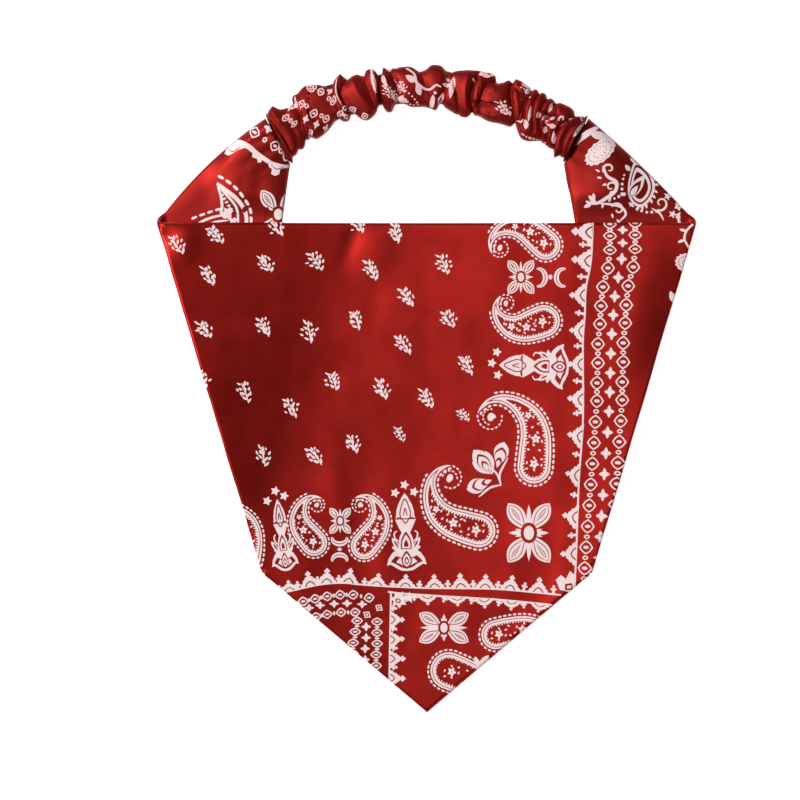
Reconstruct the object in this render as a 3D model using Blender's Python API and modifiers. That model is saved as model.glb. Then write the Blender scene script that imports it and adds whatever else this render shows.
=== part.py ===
"""An elastic headscarf laid flat on a table.

Its kerchief is two cloths, sewn together round the edge and turned. Both side corners are folded
behind it and reach up past the top hem, and a gathered casing with an elastic inside joins them.

Metres. +Z is up off the table, +Y runs from the kerchief's tip towards the band, and the origin is
on the table under the middle of the headscarf's box.
"""

import math

import bmesh
import bpy
from mathutils import Vector

# Cloth
WALL = 0.0010  # each cloth of the kerchief
SEAM_GAP = 0.0003
LAYER = WALL + SEAM_GAP  # from the middle of one cloth to the middle of the next
LEFT, RIGHT = -1, 1

# Kerchief, as it lies
TOP_WIDTH = 0.2500  # along the top hem, from one side fold to the other
TOP_HEM_Y = 0.0770
TIP_Y = -0.1500
FOLD_FOOT_X, FOLD_FOOT_Y = 0.0765, -0.0850  # where a side fold meets the lower hem
FOLD_RADIUS_TOP, FOLD_RADIUS_FOOT = 0.0047, 0.0027  # of the outer cloth's middle
RUN_OUT_TOP, RUN_OUT_FOOT = 0.0360, 0.0200  # from a wing's hem to where the cloth lies flat
HEM_MARGIN = 0.0060  # the cloth starts to come down this far past the wing under it
CREST_SHARE = 0.90  # of that distance in which the fold's own height is lost

# Wings: the side corners, folded behind
WING_END_INNER = Vector((0.0635, 0.1045))
WING_END_OUTER = Vector((0.0750, 0.1255))
EDGE_BOW = {LEFT: 0.0031, RIGHT: 0.0012}  # how far a wing's outer edge bows out
HEM_BOW = {LEFT: 0.0035, RIGHT: 0.0062}  # how far its inner hem bows out, away from the opening
MOUTH_PUFF = 0.0054  # how far the upper cloth rises over the end of the band
MOUTH_FULL, MOUTH_START = 0.0080, 0.0320  # back from the end: fully raised, and not yet raised
PUFF_POWER = 0.5
HEM_CLEAR_LOW, HEM_CLEAR_HIGH = 0.0020, 0.0140  # past the top hem, where a wing may rise

# Soft ridges in the upper cloth of the panel
RIDGE_COLUMNS = ("x", "y", "heading_deg", "half_length", "half_width", "height")
RIDGES = (
    (-0.016, 0.026, 66, 0.075, 0.016, 0.0022),
    (-0.046, -0.060, 84, 0.040, 0.010, 0.0014),
    (-0.020, -0.064, 92, 0.042, 0.011, 0.0013),
    (0.052, 0.006, 97, 0.080, 0.018, 0.0014),
    (0.016, -0.104, 8, 0.050, 0.010, 0.0012),
)
RIDGE_FADE = 0.22  # share of the panel's height, at each hem, over which ridges fade out

# Columns of the kerchief's sections, as shares of each stretch, and rows from hem to hem
WING_SHARES = (1.0, 0.93, 0.84, 0.72, 0.56, 0.38, 0.20)
PANEL_SHARES = (0.10, 0.22, 0.35, 0.49, 0.64, 0.82)
BEND_STEPS = 6
KERCHIEF_ROWS = 12
SLOPE_STEP = 0.0005  # the length over which a slope is measured
EDGE_START_SHARE = 0.08  # of a wing's outer edge, which gives its heading where it leaves the fold

# Band: a gathered casing on an arc, flat underneath
ARC_RADIUS = 0.1118
ARC_CENTRE_Y = 0.0274
BAND_WALL = 0.0012
BAND_INSERT = 0.0040  # how far each end goes into a wing
BAND_CLEAR_OF_WING = 0.0006  # past a wing's end, where the casing starts to swell
BAND_END_REACH = 0.0085
BAND_END_LOW = WALL + SEAM_GAP
BAND_END_TOP = 0.0056
BAND_MIDDLE_SHARE = 0.42  # height of the widest place, as a share of the band's height
BAND_ROUNDNESS = 0.80  # under 1 is boxier than an ellipse
BAND_FLAT_BOTTOM = 1.35  # over 1 leaves a flat underside
BAND_SIDES = 18
INSIDE_FOLLOWS = 0.45  # share of each gather that the inside of the casing follows

# Each cinch is a line across the band where the cloth is drawn in. Lengths run along the arc from
# the middle of the band, and reaches are measured from the arc, outwards and inwards. bow is how
# far along the arc the line moves on its way over the top.
CINCH_COLUMNS = ("outer_at", "inner_at", "bow", "outer_reach", "inner_reach", "height")
CINCHES = (
    (-0.0605, -0.0610, 0.0014, 0.0106, 0.0084, 0.0096),
    (-0.0510, -0.0535, -0.0012, 0.0124, 0.0088, 0.0106),
    (-0.0395, -0.0448, 0.0020, 0.0110, 0.0070, 0.0092),
    (-0.0313, -0.0370, -0.0016, 0.0098, 0.0074, 0.0098),
    (-0.0218, -0.0230, 0.0008, 0.0094, 0.0064, 0.0088),
    (-0.0115, -0.0160, -0.0022, 0.0092, 0.0074, 0.0100),
    (-0.0010, -0.0055, 0.0010, 0.0077, 0.0078, 0.0088),
    (0.0095, 0.0072, -0.0018, 0.0085, 0.0081, 0.0096),
    (0.0205, 0.0227, 0.0024, 0.0088, 0.0096, 0.0090),
    (0.0312, 0.0350, -0.0010, 0.0076, 0.0092, 0.0100),
    (0.0420, 0.0454, 0.0016, 0.0094, 0.0074, 0.0092),
    (0.0485, 0.0570, -0.0014, 0.0098, 0.0096, 0.0100),
    (0.0570, 0.0655, 0.0012, 0.0098, 0.0092, 0.0092),
    (0.0660, 0.0722, -0.0008, 0.0094, 0.0092, 0.0098),
)
# The cinch where the band comes out of a wing: how far past the wing's end, and its other columns
MOUTH_CINCH_AT = 0.0016
MOUTH_CINCH = (0.0, 0.0102, 0.0100, 0.0084)
# The puff of cloth before each cinch, and the last one after them all. lean moves its crest: over
# 1 towards the cinch after it, under 1 towards the one before.
PUFF_COLUMNS = ("outer_reach", "inner_reach", "height", "lean")
PUFFS = (
    (0.0142, 0.0126, 0.0122, 0.80),
    (0.0129, 0.0104, 0.0114, 1.25),
    (0.0143, 0.0094, 0.0132, 0.85),
    (0.0126, 0.0086, 0.0116, 1.20),
    (0.0115, 0.0107, 0.0126, 0.75),
    (0.0113, 0.0096, 0.0114, 1.10),
    (0.0101, 0.0090, 0.0124, 1.35),
    (0.0110, 0.0105, 0.0128, 0.80),
    (0.0097, 0.0125, 0.0118, 1.20),
    (0.0111, 0.0113, 0.0130, 0.90),
    (0.0111, 0.0104, 0.0116, 1.30),
    (0.0104, 0.0138, 0.0126, 0.80),
    (0.0110, 0.0115, 0.0116, 1.15),
    (0.0104, 0.0134, 0.0130, 0.85),
    (0.0102, 0.0116, 0.0116, 1.20),
)
PUFF_STATIONS = (0.14, 0.36, 0.64, 0.86)  # sections between two cinches, as shares

# Elastic
ELASTIC_WIDTH = 0.0080
ELASTIC_THICKNESS = 0.0010
ELASTIC_LOW_MIDDLE, ELASTIC_LOW_END = 0.0016, 0.0030
ELASTIC_RISE_FROM, ELASTIC_RISE_TO = 0.75, 0.89  # shares of the way from its middle to an end
ELASTIC_SECTIONS = 36

# Finishes: name, colour and roughness
KERCHIEF_CLOTH = ("kerchief_cloth", (0.36, 0.012, 0.010, 1.0), 0.55)
BAND_CLOTH = ("band_cloth", (0.36, 0.012, 0.010, 1.0), 0.50)
ELASTIC = ("elastic", (0.82, 0.80, 0.76, 1.0), 0.80)


def smoothstep(low, high, value):
    share = min(1.0, max(0.0, (value - low) / (high - low)))
    return share * share * (3 - 2 * share)


def mix(a, b, share):
    return a + (b - a) * share


def rows_of(columns, table):
    """The rows of a table as dictionaries."""
    return [dict(zip(columns, row)) for row in table]


class SideFold:
    """One side's fold line, from the top hem down to the lower hem, and the wing folded behind it.

    A place near it is (down, inward): how far down the fold from the top, and inward from it.
    """

    def __init__(self, side):
        self.top = Vector((side * TOP_WIDTH / 2, TOP_HEM_Y))
        self.foot = Vector((side * FOLD_FOOT_X, FOLD_FOOT_Y))
        self.length = (self.foot - self.top).length
        self.down = (self.foot - self.top).normalized()
        self.inward = Vector((-side * abs(self.down.y), abs(self.down.x)))
        self.end_inner = Vector((side * WING_END_INNER.x, WING_END_INNER.y))
        self.end_outer = Vector((side * WING_END_OUTER.x, WING_END_OUTER.y))
        self.edge_bow = EDGE_BOW[side]
        self.hem_bow = HEM_BOW[side]

    def place(self, point):
        offset = point - self.top
        return offset.dot(self.down), offset.dot(self.inward)

    def point(self, down, inward):
        return self.top + self.down * down + self.inward * inward

    def radius(self, down):
        """Radius of the outer cloth's middle where it turns behind."""
        share = min(1.0, max(0.0, down / self.length))
        return mix(FOLD_RADIUS_TOP, FOLD_RADIUS_FOOT, share)

    def bend_line(self, down):
        """How far inward the bend's axis is."""
        return self.radius(down) + WALL / 2

    def crossing(self, start, towards):
        """Where the line from start towards another point reaches the bend's axis."""
        down, inward = self.place(towards)
        start_down, start_inward = self.place(start)
        wanted = self.bend_line(start_down) - start_inward
        share = wanted / (inward - start_inward)
        return start + (towards - start) * share

    def hem_inward(self, down):
        """How far inward the wing's inner hem is, under the panel."""
        end_down, end_inward = self.place(self.end_inner)
        share = (self.length - down) / (self.length - end_down)
        return max(0.0, share * end_inward)

    def lift(self, point):
        """How far this side's fold and wing hold the panel's lower cloth off the table."""
        down, inward = self.place(point)
        crest = 2 * self.radius(down) - LAYER
        wing = 2 * LAYER
        hem = self.hem_inward(down)
        share = min(1.0, max(0.0, down / self.length))
        flat = hem + mix(RUN_OUT_TOP, RUN_OUT_FOOT, share)
        over_wing = 1 - smoothstep(hem + HEM_MARGIN, flat, inward)
        near_fold = 1 - smoothstep(self.bend_line(down), CREST_SHARE * flat, inward)
        return wing * over_wing + (crest - wing) * near_fold

    def bowed(self, start, end, share, bow):
        """A point from start to end on a line that bows away from the kerchief's middle."""
        along = (end - start).normalized()
        out = Vector((-along.y, along.x))
        if out.dot(self.inward) > 0:
            out = -out
        return mix(start, end, share) + out * (bow * 4 * share * (1 - share))

    def outer_edge(self, share):
        """A point on the wing's outer edge, from the fold's top to the band."""
        return self.bowed(self.top, self.end_outer, share, self.edge_bow)

    def puff(self, point, across):
        """How far the wing's upper cloth rises near the band. across is the point's share of the
        way from the inner hem to the outer edge."""
        along_end = (self.end_outer - self.end_inner).normalized()
        into_wing = Vector((-along_end.y, along_end.x))
        if into_wing.dot(self.foot - self.end_inner) < 0:
            into_wing = -into_wing
        back = max(0.0, (point - self.end_inner).dot(into_wing))
        raised = 1 - smoothstep(MOUTH_FULL, MOUTH_START, back)
        raised *= smoothstep(TOP_HEM_Y + HEM_CLEAR_LOW, TOP_HEM_Y + HEM_CLEAR_HIGH, point.y)
        return MOUTH_PUFF * raised * (4 * across * (1 - across)) ** PUFF_POWER


FOLDS = {LEFT: SideFold(LEFT), RIGHT: SideFold(RIGHT)}


def lower_hem_y(x):
    """Height of the lower hem at x, from the tip to the foot of a fold."""
    return mix(TIP_Y, FOLD_FOOT_Y, abs(x) / FOLD_FOOT_X)


def ridge_height(point):
    """Height of the panel's upper cloth over the lower one, beyond the seam's own gap."""
    low = lower_hem_y(point.x)
    share = min(1.0, max(0.0, (point.y - low) / (TOP_HEM_Y - low)))
    fade = smoothstep(0, RIDGE_FADE, share) * smoothstep(0, RIDGE_FADE, 1 - share)
    height = 0.0
    for ridge in rows_of(RIDGE_COLUMNS, RIDGES):
        heading = math.radians(ridge["heading_deg"])
        offset = point - Vector((ridge["x"], ridge["y"]))
        along = offset.x * math.cos(heading) + offset.y * math.sin(heading)
        across = offset.y * math.cos(heading) - offset.x * math.sin(heading)
        spread = (along / ridge["half_length"]) ** 2 + (across / ridge["half_width"]) ** 2
        height += ridge["height"] * math.exp(-spread)
    return fade * height


def lower_height(point):
    """Height of the middle of the panel's lower cloth."""
    return WALL / 2 + sum(fold.lift(point) for fold in FOLDS.values())


def steepness(point):
    """Length of the slope over its level length, where the lower cloth climbs."""
    here = lower_height(point)
    rise_x = (lower_height(point + Vector((SLOPE_STEP, 0))) - here) / SLOPE_STEP
    rise_y = (lower_height(point + Vector((0, SLOPE_STEP))) - here) / SLOPE_STEP
    return math.sqrt(1 + rise_x**2 + rise_y**2)


def panel_point(point, upper):
    """A point of the panel's upper or lower cloth, at a place on the table."""
    height = lower_height(point)
    if upper:
        height += LAYER * steepness(point) + ridge_height(point)
    return Vector((point.x, point.y, height))


def wing_column(fold, share, upper):
    """Points across a wing, from its inner hem to its outer edge. upper is the panel's upper
    cloth, which lies underneath here."""
    inner_start = fold.crossing(fold.foot, fold.end_inner)
    outer_start = fold.crossing(fold.top, fold.end_outer)
    inner = fold.bowed(inner_start, fold.end_inner, share, fold.hem_bow)
    start_share = (outer_start - fold.top).length / (fold.end_outer - fold.top).length
    outer = fold.outer_edge(mix(start_share, 1.0, share))
    column = []
    for row in range(KERCHIEF_ROWS + 1):
        across = row / KERCHIEF_ROWS
        point = mix(inner, outer, across)
        height = WALL / 2 if upper else WALL / 2 + LAYER + fold.puff(point, across)
        column.append(Vector((point.x, point.y, height)))
    return column


def bend_column(fold, turn, upper):
    """Points along the fold, turned from the panel's side (0) to the wing's side (pi)."""
    centre = Vector((0.0, TIP_Y))
    hem_middle = Vector((0.0, TOP_HEM_Y))
    share = turn / math.pi
    edge_heading = fold.outer_edge(EDGE_START_SHARE) - fold.top
    ends = (
        (fold.crossing(fold.foot, centre), fold.crossing(fold.foot, fold.end_inner)),
        (fold.crossing(fold.top, hem_middle), fold.crossing(fold.top, fold.top + edge_heading)),
    )
    low, high = (mix(fold.place(a)[0], fold.place(b)[0], share) for a, b in ends)
    column = []
    for row in range(KERCHIEF_ROWS + 1):
        down = mix(low, high, row / KERCHIEF_ROWS)
        outer_radius = fold.radius(down)
        radius = outer_radius if upper else outer_radius - LAYER
        inward = fold.bend_line(down) - radius * math.sin(turn)
        point = fold.point(down, inward)
        height = WALL / 2 + outer_radius + radius * math.cos(turn)
        column.append(Vector((point.x, point.y, height)))
    return column


def panel_column(fold, share, upper):
    """Points across the panel, from the lower hem to the top hem, share of the way to its middle."""
    foot = fold.crossing(fold.foot, Vector((0.0, TIP_Y)))
    top = fold.crossing(fold.top, Vector((0.0, TOP_HEM_Y)))
    low = mix(foot, Vector((0.0, TIP_Y)), share)
    high = mix(top, Vector((0.0, TOP_HEM_Y)), share)
    rows = range(KERCHIEF_ROWS + 1)
    return [panel_point(mix(low, high, row / KERCHIEF_ROWS), upper) for row in rows]


def kerchief_columns(upper):
    """All sections of one cloth, from the end of the left wing to the end of the right wing."""
    half = {}
    for side, fold in FOLDS.items():
        columns = [wing_column(fold, share, upper) for share in WING_SHARES]
        for step in range(BEND_STEPS, 0, -1):
            columns.append(bend_column(fold, math.pi * step / BEND_STEPS, upper))
        for share in (0.0, *PANEL_SHARES):
            columns.append(panel_column(fold, share, upper))
        half[side] = columns
    middle = panel_column(FOLDS[LEFT], 1.0, upper)
    return [*half[LEFT], middle, *reversed(half[RIGHT])]


def along_arc(point):
    """How far along the arc a point is, from the middle of the band."""
    return math.atan2(point.x, point.y - ARC_CENTRE_Y) * ARC_RADIUS


def section_point(theta, line, reach, heights):
    """A point of the band's section. theta runs from the outer edge over the top to the inner edge
    and back underneath. line gives the section's place along the arc at its outer and inner edges,
    and its bow."""
    cosine, sine = math.cos(theta), math.sin(theta)
    low, top = heights
    side_reach = reach[0] if cosine >= 0 else reach[1]
    lateral = math.copysign(abs(cosine) ** BAND_ROUNDNESS, cosine) * side_reach
    widest = mix(low, top, BAND_MIDDLE_SHARE)
    rise = abs(sine) ** BAND_ROUNDNESS
    if sine >= 0:
        height = mix(widest, top, rise)
    else:
        height = mix(widest, low, min(1.0, BAND_FLAT_BOTTOM * rise))
    outer_at, inner_at, bow = line
    at = mix(outer_at, inner_at, (1 - cosine) / 2) + bow * max(0.0, sine)
    angle = at / ARC_RADIUS
    radius = ARC_RADIUS + lateral
    return Vector((radius * math.sin(angle), ARC_CENTRE_Y + radius * math.cos(angle), height))


def ring(line, outside, inside):
    """The band's outer and inner rings at one line across it."""
    angles = [2 * math.pi * i / BAND_SIDES for i in range(BAND_SIDES)]
    return (
        [section_point(theta, line, outside["reach"], outside["heights"]) for theta in angles],
        [section_point(theta, line, inside["reach"], inside["heights"]) for theta in angles],
    )


def mouth_line(side, beyond):
    """Where a section beyond a wing's end lies along the arc, or one inside the wing where beyond
    is negative. It is parallel to the wing's end, with no bow."""
    fold = FOLDS[side]
    ends = [along_arc(corner) - side * beyond for corner in (fold.end_outer, fold.end_inner)]
    return (*ends, 0.0)


def end_ring(side, beyond):
    """A flattened ring near a wing's end."""
    outside = {"reach": (BAND_END_REACH,) * 2, "heights": (BAND_END_LOW, BAND_END_TOP)}
    inside = {
        "reach": (BAND_END_REACH - BAND_WALL,) * 2,
        "heights": (BAND_END_LOW + BAND_WALL, BAND_END_TOP - BAND_WALL),
    }
    return ring(mouth_line(side, beyond), outside, inside)


def mouth_cinch(side):
    """The cinch just past a wing's end, where the casing comes out of it."""
    values = (*mouth_line(side, MOUTH_CINCH_AT)[:2], *MOUTH_CINCH)
    return dict(zip(CINCH_COLUMNS, values))


def gathered_ring(before, after, puff, share):
    """A ring between two cinches: a round puff that comes in sharply at each of them."""
    crest = share ** puff["lean"]
    swell = math.sqrt(4 * crest * (1 - crest))
    drawn = {key: mix(before[key], after[key], share) for key in CINCH_COLUMNS}
    shape = ("outer_reach", "inner_reach", "height")
    full = {key: mix(drawn[key], puff[key], swell) for key in shape}
    inner = {
        key: drawn[key] + INSIDE_FOLLOWS * (full[key] - drawn[key]) - BAND_WALL for key in shape
    }
    outside = {
        "reach": (full["outer_reach"], full["inner_reach"]),
        "heights": (0.0, full["height"]),
    }
    inside = {
        "reach": (inner["outer_reach"], inner["inner_reach"]),
        "heights": (BAND_WALL, inner["height"]),
    }
    return ring((drawn["outer_at"], drawn["inner_at"], drawn["bow"]), outside, inside)


def band_rings():
    """Every section of the casing, from inside the left wing to inside the right wing."""
    cinches = [mouth_cinch(LEFT), *rows_of(CINCH_COLUMNS, CINCHES), mouth_cinch(RIGHT)]
    puffs = rows_of(PUFF_COLUMNS, PUFFS)
    rings = [end_ring(LEFT, -BAND_INSERT), end_ring(LEFT, BAND_CLEAR_OF_WING)]
    for before, after, puff in zip(cinches, cinches[1:], puffs):
        for share in (0.0, *PUFF_STATIONS):
            rings.append(gathered_ring(before, after, puff, share))
    rings.append(gathered_ring(cinches[-2], cinches[-1], puffs[-1], 1.0))
    rings += [end_ring(RIGHT, BAND_CLEAR_OF_WING), end_ring(RIGHT, -BAND_INSERT)]
    return rings


def material(name, colour, roughness):
    made = bpy.data.materials.new(name)
    made.use_nodes = True
    shader = made.node_tree.nodes["Principled BSDF"]
    shader.inputs["Base Color"].default_value = colour
    shader.inputs["Roughness"].default_value = roughness
    shader.inputs["Metallic"].default_value = 0.0
    made.diffuse_color = colour
    return made


def finished(mesh_builder, name, finish, collection):
    """Makes the named object from a bmesh, facing outwards and shaded smooth."""
    mesh = bpy.data.meshes.new(name)
    bmesh.ops.recalc_face_normals(mesh_builder, faces=mesh_builder.faces)
    mesh_builder.to_mesh(mesh)
    mesh_builder.free()
    mesh.shade_smooth()
    mesh.materials.append(finish)
    made = bpy.data.objects.new(name, mesh)
    collection.objects.link(made)
    return made


def sheet(name, columns, thickness, finish, collection):
    """A cloth through sections of equal length, with its wall on both sides of them."""
    builder = bmesh.new()
    grid = [[builder.verts.new(point) for point in column] for column in columns]
    for left, right in zip(grid, grid[1:]):
        for i in range(len(left) - 1):
            builder.faces.new((left[i], right[i], right[i + 1], left[i + 1]))
    made = finished(builder, name, finish, collection)
    wall = made.modifiers.new("Wall", "SOLIDIFY")
    wall.thickness = thickness
    wall.offset = 0.0
    wall.use_even_offset = True
    return made


def tube(name, rings, finish, collection):
    """An open-ended tube with a wall, through pairs of outer and inner rings."""
    builder = bmesh.new()
    skins = []
    for skin in (0, 1):
        skins.append([[builder.verts.new(point) for point in pair[skin]] for pair in rings])
    strips = [pair for skin in skins for pair in zip(skin, skin[1:])]
    strips += [(skins[0][end], skins[1][end]) for end in (0, -1)]
    for one, other in strips:
        for i in range(BAND_SIDES):
            after = (i + 1) % BAND_SIDES
            builder.faces.new((one[i], other[i], other[after], one[after]))
    return finished(builder, name, finish, collection)


def elastic_columns():
    """Three lines along the elastic, which rises at its ends into the wings."""
    ends = []
    for side, fold in FOLDS.items():
        middle_of_mouth = mix(fold.end_outer, fold.end_inner, 0.5)
        ends.append(along_arc(middle_of_mouth) + side * BAND_INSERT)
    columns = []
    for lateral in (-ELASTIC_WIDTH / 2, 0.0, ELASTIC_WIDTH / 2):
        column = []
        for i in range(ELASTIC_SECTIONS + 1):
            at = mix(*ends, i / ELASTIC_SECTIONS)
            rise = smoothstep(ELASTIC_RISE_FROM, ELASTIC_RISE_TO, abs(at / ends[0]))
            low = mix(ELASTIC_LOW_MIDDLE, ELASTIC_LOW_END, rise)
            angle, radius = at / ARC_RADIUS, ARC_RADIUS + lateral
            x, y = radius * math.sin(angle), ARC_CENTRE_Y + radius * math.cos(angle)
            column.append(Vector((x, y, low + ELASTIC_THICKNESS / 2)))
        columns.append(column)
    return columns


def main():
    for old in list(bpy.data.objects):
        bpy.data.objects.remove(old, do_unlink=True)
    headscarf = bpy.data.collections.new("elastic_headscarf")
    bpy.context.scene.collection.children.link(headscarf)

    cloth = material(*KERCHIEF_CLOTH)
    sheet("kerchief_front", kerchief_columns(upper=True), WALL, cloth, headscarf)
    sheet("kerchief_back", kerchief_columns(upper=False), WALL, cloth, headscarf)
    tube("band_casing", band_rings(), material(*BAND_CLOTH), headscarf)
    sheet("band_elastic", elastic_columns(), ELASTIC_THICKNESS, material(*ELASTIC), headscarf)


main()
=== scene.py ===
"""The looks of an elastic headscarf that lies flat: its two cloths, its gathered band and its print.

Metres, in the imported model's frame: +Z up off the table, +Y from the kerchief's tip to the band.
"""

import math

import bpy
import numpy as np
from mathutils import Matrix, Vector
from mathutils.geometry import delaunay_2d_cdt


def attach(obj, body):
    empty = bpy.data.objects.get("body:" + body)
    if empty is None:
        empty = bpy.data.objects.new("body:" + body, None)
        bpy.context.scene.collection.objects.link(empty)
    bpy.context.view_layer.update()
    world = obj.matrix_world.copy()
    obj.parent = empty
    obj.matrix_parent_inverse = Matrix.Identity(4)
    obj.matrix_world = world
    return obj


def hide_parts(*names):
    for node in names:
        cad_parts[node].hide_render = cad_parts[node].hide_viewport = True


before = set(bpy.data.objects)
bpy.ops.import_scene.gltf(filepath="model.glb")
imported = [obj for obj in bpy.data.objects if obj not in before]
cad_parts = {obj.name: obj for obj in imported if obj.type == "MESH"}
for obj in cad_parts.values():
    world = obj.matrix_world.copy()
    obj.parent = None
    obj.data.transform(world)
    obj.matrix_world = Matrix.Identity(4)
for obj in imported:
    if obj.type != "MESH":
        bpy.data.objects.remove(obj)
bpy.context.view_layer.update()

# ---------------------------------------------------------------- sizes of the solids, as in the CAD
WALL = 0.0010  # of each cloth
SEAM_GAP = 0.0003  # between the two
LAYER = WALL + SEAM_GAP
LEFT, RIGHT = -1, 1
# The panel: its top hem, its tip, and where the side folds end
TOP_WIDTH = 0.2500
TOP_HEM_Y = 0.0770
TIP_Y = -0.1500
FOLD_FOOT_X, FOLD_FOOT_Y = 0.0765, -0.0850
FOLD_RADIUS_TOP, FOLD_RADIUS_FOOT = 0.0047, 0.0027  # of the outer cloth's middle
RUN_OUT_TOP, RUN_OUT_FOOT = 0.0360, 0.0200  # past a wing's hem, until the panel is on the table
HEM_MARGIN = 0.0060  # of that, before it begins to come down
CREST_SHARE = 0.90  # of the way off a fold, in which its own height is lost
# A wing's end, which the band goes into, and how far its two sides bow out
WING_END_INNER = (0.0635, 0.1045)
WING_END_OUTER = (0.0750, 0.1255)
EDGE_BOW = {LEFT: 0.0031, RIGHT: 0.0012}
HEM_BOW = {LEFT: 0.0035, RIGHT: 0.0062}
MOUTH_PUFF = 0.0054  # how far the upper cloth rises over the band's end
HEM_CLEAR_LOW, HEM_CLEAR_HIGH = 0.0020, 0.0140  # past the top hem, where it may rise
# Soft ridges and troughs, here and below: x, y, heading in degrees, half length, half width, height
RIDGES = (
    (-0.016, 0.026, 66, 0.075, 0.016, 0.0022),
    (-0.046, -0.060, 84, 0.040, 0.010, 0.0014),
    (-0.020, -0.064, 92, 0.042, 0.011, 0.0013),
    (0.052, 0.006, 97, 0.080, 0.018, 0.0014),
    (0.016, -0.104, 8, 0.050, 0.010, 0.0012),
)
RIDGE_FADE = 0.22  # share of the panel's height, at each hem, over which they fade out
SLOPE_STEP = 0.0005  # the length over which a slope is measured
EDGE_START_SHARE = 0.08  # of a wing's outer edge, which gives its heading at the fold
# The band: the arc that it follows, its ends in the wings, and its section
ARC_RADIUS = 0.1118
ARC_CENTRE_Y = 0.0274
BAND_INSERT = 0.0040  # how far each end goes into a wing
BAND_CLEAR_OF_WING = 0.0006  # past a wing's end, where the casing starts to swell
BAND_END_REACH = 0.0085
BAND_END_LOW = WALL + SEAM_GAP
BAND_END_TOP = 0.0056
BAND_MIDDLE_SHARE = 0.42  # of its height, where it is widest
BAND_ROUNDNESS = 0.80  # under 1 is boxier than an ellipse
BAND_FLAT_BOTTOM = 1.35  # over 1 leaves a flat underside
# Each cinch: where it is along the arc at its outer and its inner end, its bow, how far it reaches
# out and in, and its height
CINCHES = (
    (-0.0605, -0.0610, 0.0014, 0.0106, 0.0084, 0.0096),
    (-0.0510, -0.0535, -0.0012, 0.0124, 0.0088, 0.0106),
    (-0.0395, -0.0448, 0.0020, 0.0110, 0.0070, 0.0092),
    (-0.0313, -0.0370, -0.0016, 0.0098, 0.0074, 0.0098),
    (-0.0218, -0.0230, 0.0008, 0.0094, 0.0064, 0.0088),
    (-0.0115, -0.0160, -0.0022, 0.0092, 0.0074, 0.0100),
    (-0.0010, -0.0055, 0.0010, 0.0077, 0.0078, 0.0088),
    (0.0095, 0.0072, -0.0018, 0.0085, 0.0081, 0.0096),
    (0.0205, 0.0227, 0.0024, 0.0088, 0.0096, 0.0090),
    (0.0312, 0.0350, -0.0010, 0.0076, 0.0092, 0.0100),
    (0.0420, 0.0454, 0.0016, 0.0094, 0.0074, 0.0092),
    (0.0485, 0.0570, -0.0014, 0.0098, 0.0096, 0.0100),
    (0.0570, 0.0655, 0.0012, 0.0098, 0.0092, 0.0092),
    (0.0660, 0.0722, -0.0008, 0.0094, 0.0092, 0.0098),
)
MOUTH_CINCH_AT = 0.0016  # outside a wing
MOUTH_CINCH = (0.0, 0.0102, 0.0100, 0.0084)  # from its bow on
# Between two cinches, where the puff is fullest: above 1, nearer to the one on its right
PUFF_CRESTS = (
    0.80, 1.25, 0.85, 1.20, 0.75, 1.10, 1.35, 0.80, 1.20, 0.90, 1.30, 0.80, 1.15, 0.85, 1.20,
)

# ------------------------------------------------------------------------- sizes of the looks only
CLOTH = 0.00035  # thickness of the satin
ROLL = 0.0013  # width over which a turned hem rolls down to its seam
SEAM_SLIT = 0.00012  # between the two cloths at their seam
END_DROP, END_ROLL = 0.0005, 0.0012  # at a wing's end, which the band comes out of
# A wing's fullness, back from its end: where it is whole and where it begins, how square it is
# across the wing, and how much nearer to the outer edge. The solids have 8 mm, 32 mm, 0.5 and 1.
MOUTH_FULL, MOUTH_START = 0.0120, {LEFT: 0.0420, RIGHT: 0.0520}
PUFF_POWER, PUFF_LEAN = {LEFT: 0.42, RIGHT: 0.55}, {LEFT: 1.5, RIGHT: 1.2}
WING_LOW = TOP_HEM_Y - 0.004  # below this a wing is under the panel, and lies flat
HEM_FREE = 0.36  # share of the way off a hem in which a wing's own ridges reach their height
WING_ROWS, WING_FIRST = 61, 0.06  # rows across a wing, and where the first meets the outer edge
MM = 0.001

# The drawing's own unit: a pixel of the photo, which the print's places are given in
UNIT = 0.00046296
UNIT_X, UNIT_Y = 427.0, 389.0


def smoothstep(low, high, value):
    share = np.clip((value - low) / (high - low), 0.0, 1.0)
    return share * share * (3 - 2 * share)


def mix(a, b, share):
    return a + (b - a) * share


def to_metres(points):
    points = np.asarray(points, float)
    return np.stack(((points[..., 0] - UNIT_X) * UNIT, (UNIT_Y - points[..., 1]) * UNIT), -1)


def ripples(x, y, seed, wavelength, count=9):
    """Smooth noise from -1 to 1 or so, made of waves in all directions."""
    draw = np.random.default_rng(seed)
    total = np.zeros_like(x)
    for _ in range(count):
        heading = draw.uniform(0, 2 * math.pi)
        length = wavelength * draw.uniform(0.6, 1.7)
        phase = draw.uniform(0, 2 * math.pi)
        total += np.sin((x * math.cos(heading) + y * math.sin(heading)) / length * 6.2832 + phase)
    return total / math.sqrt(count * 2)


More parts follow.
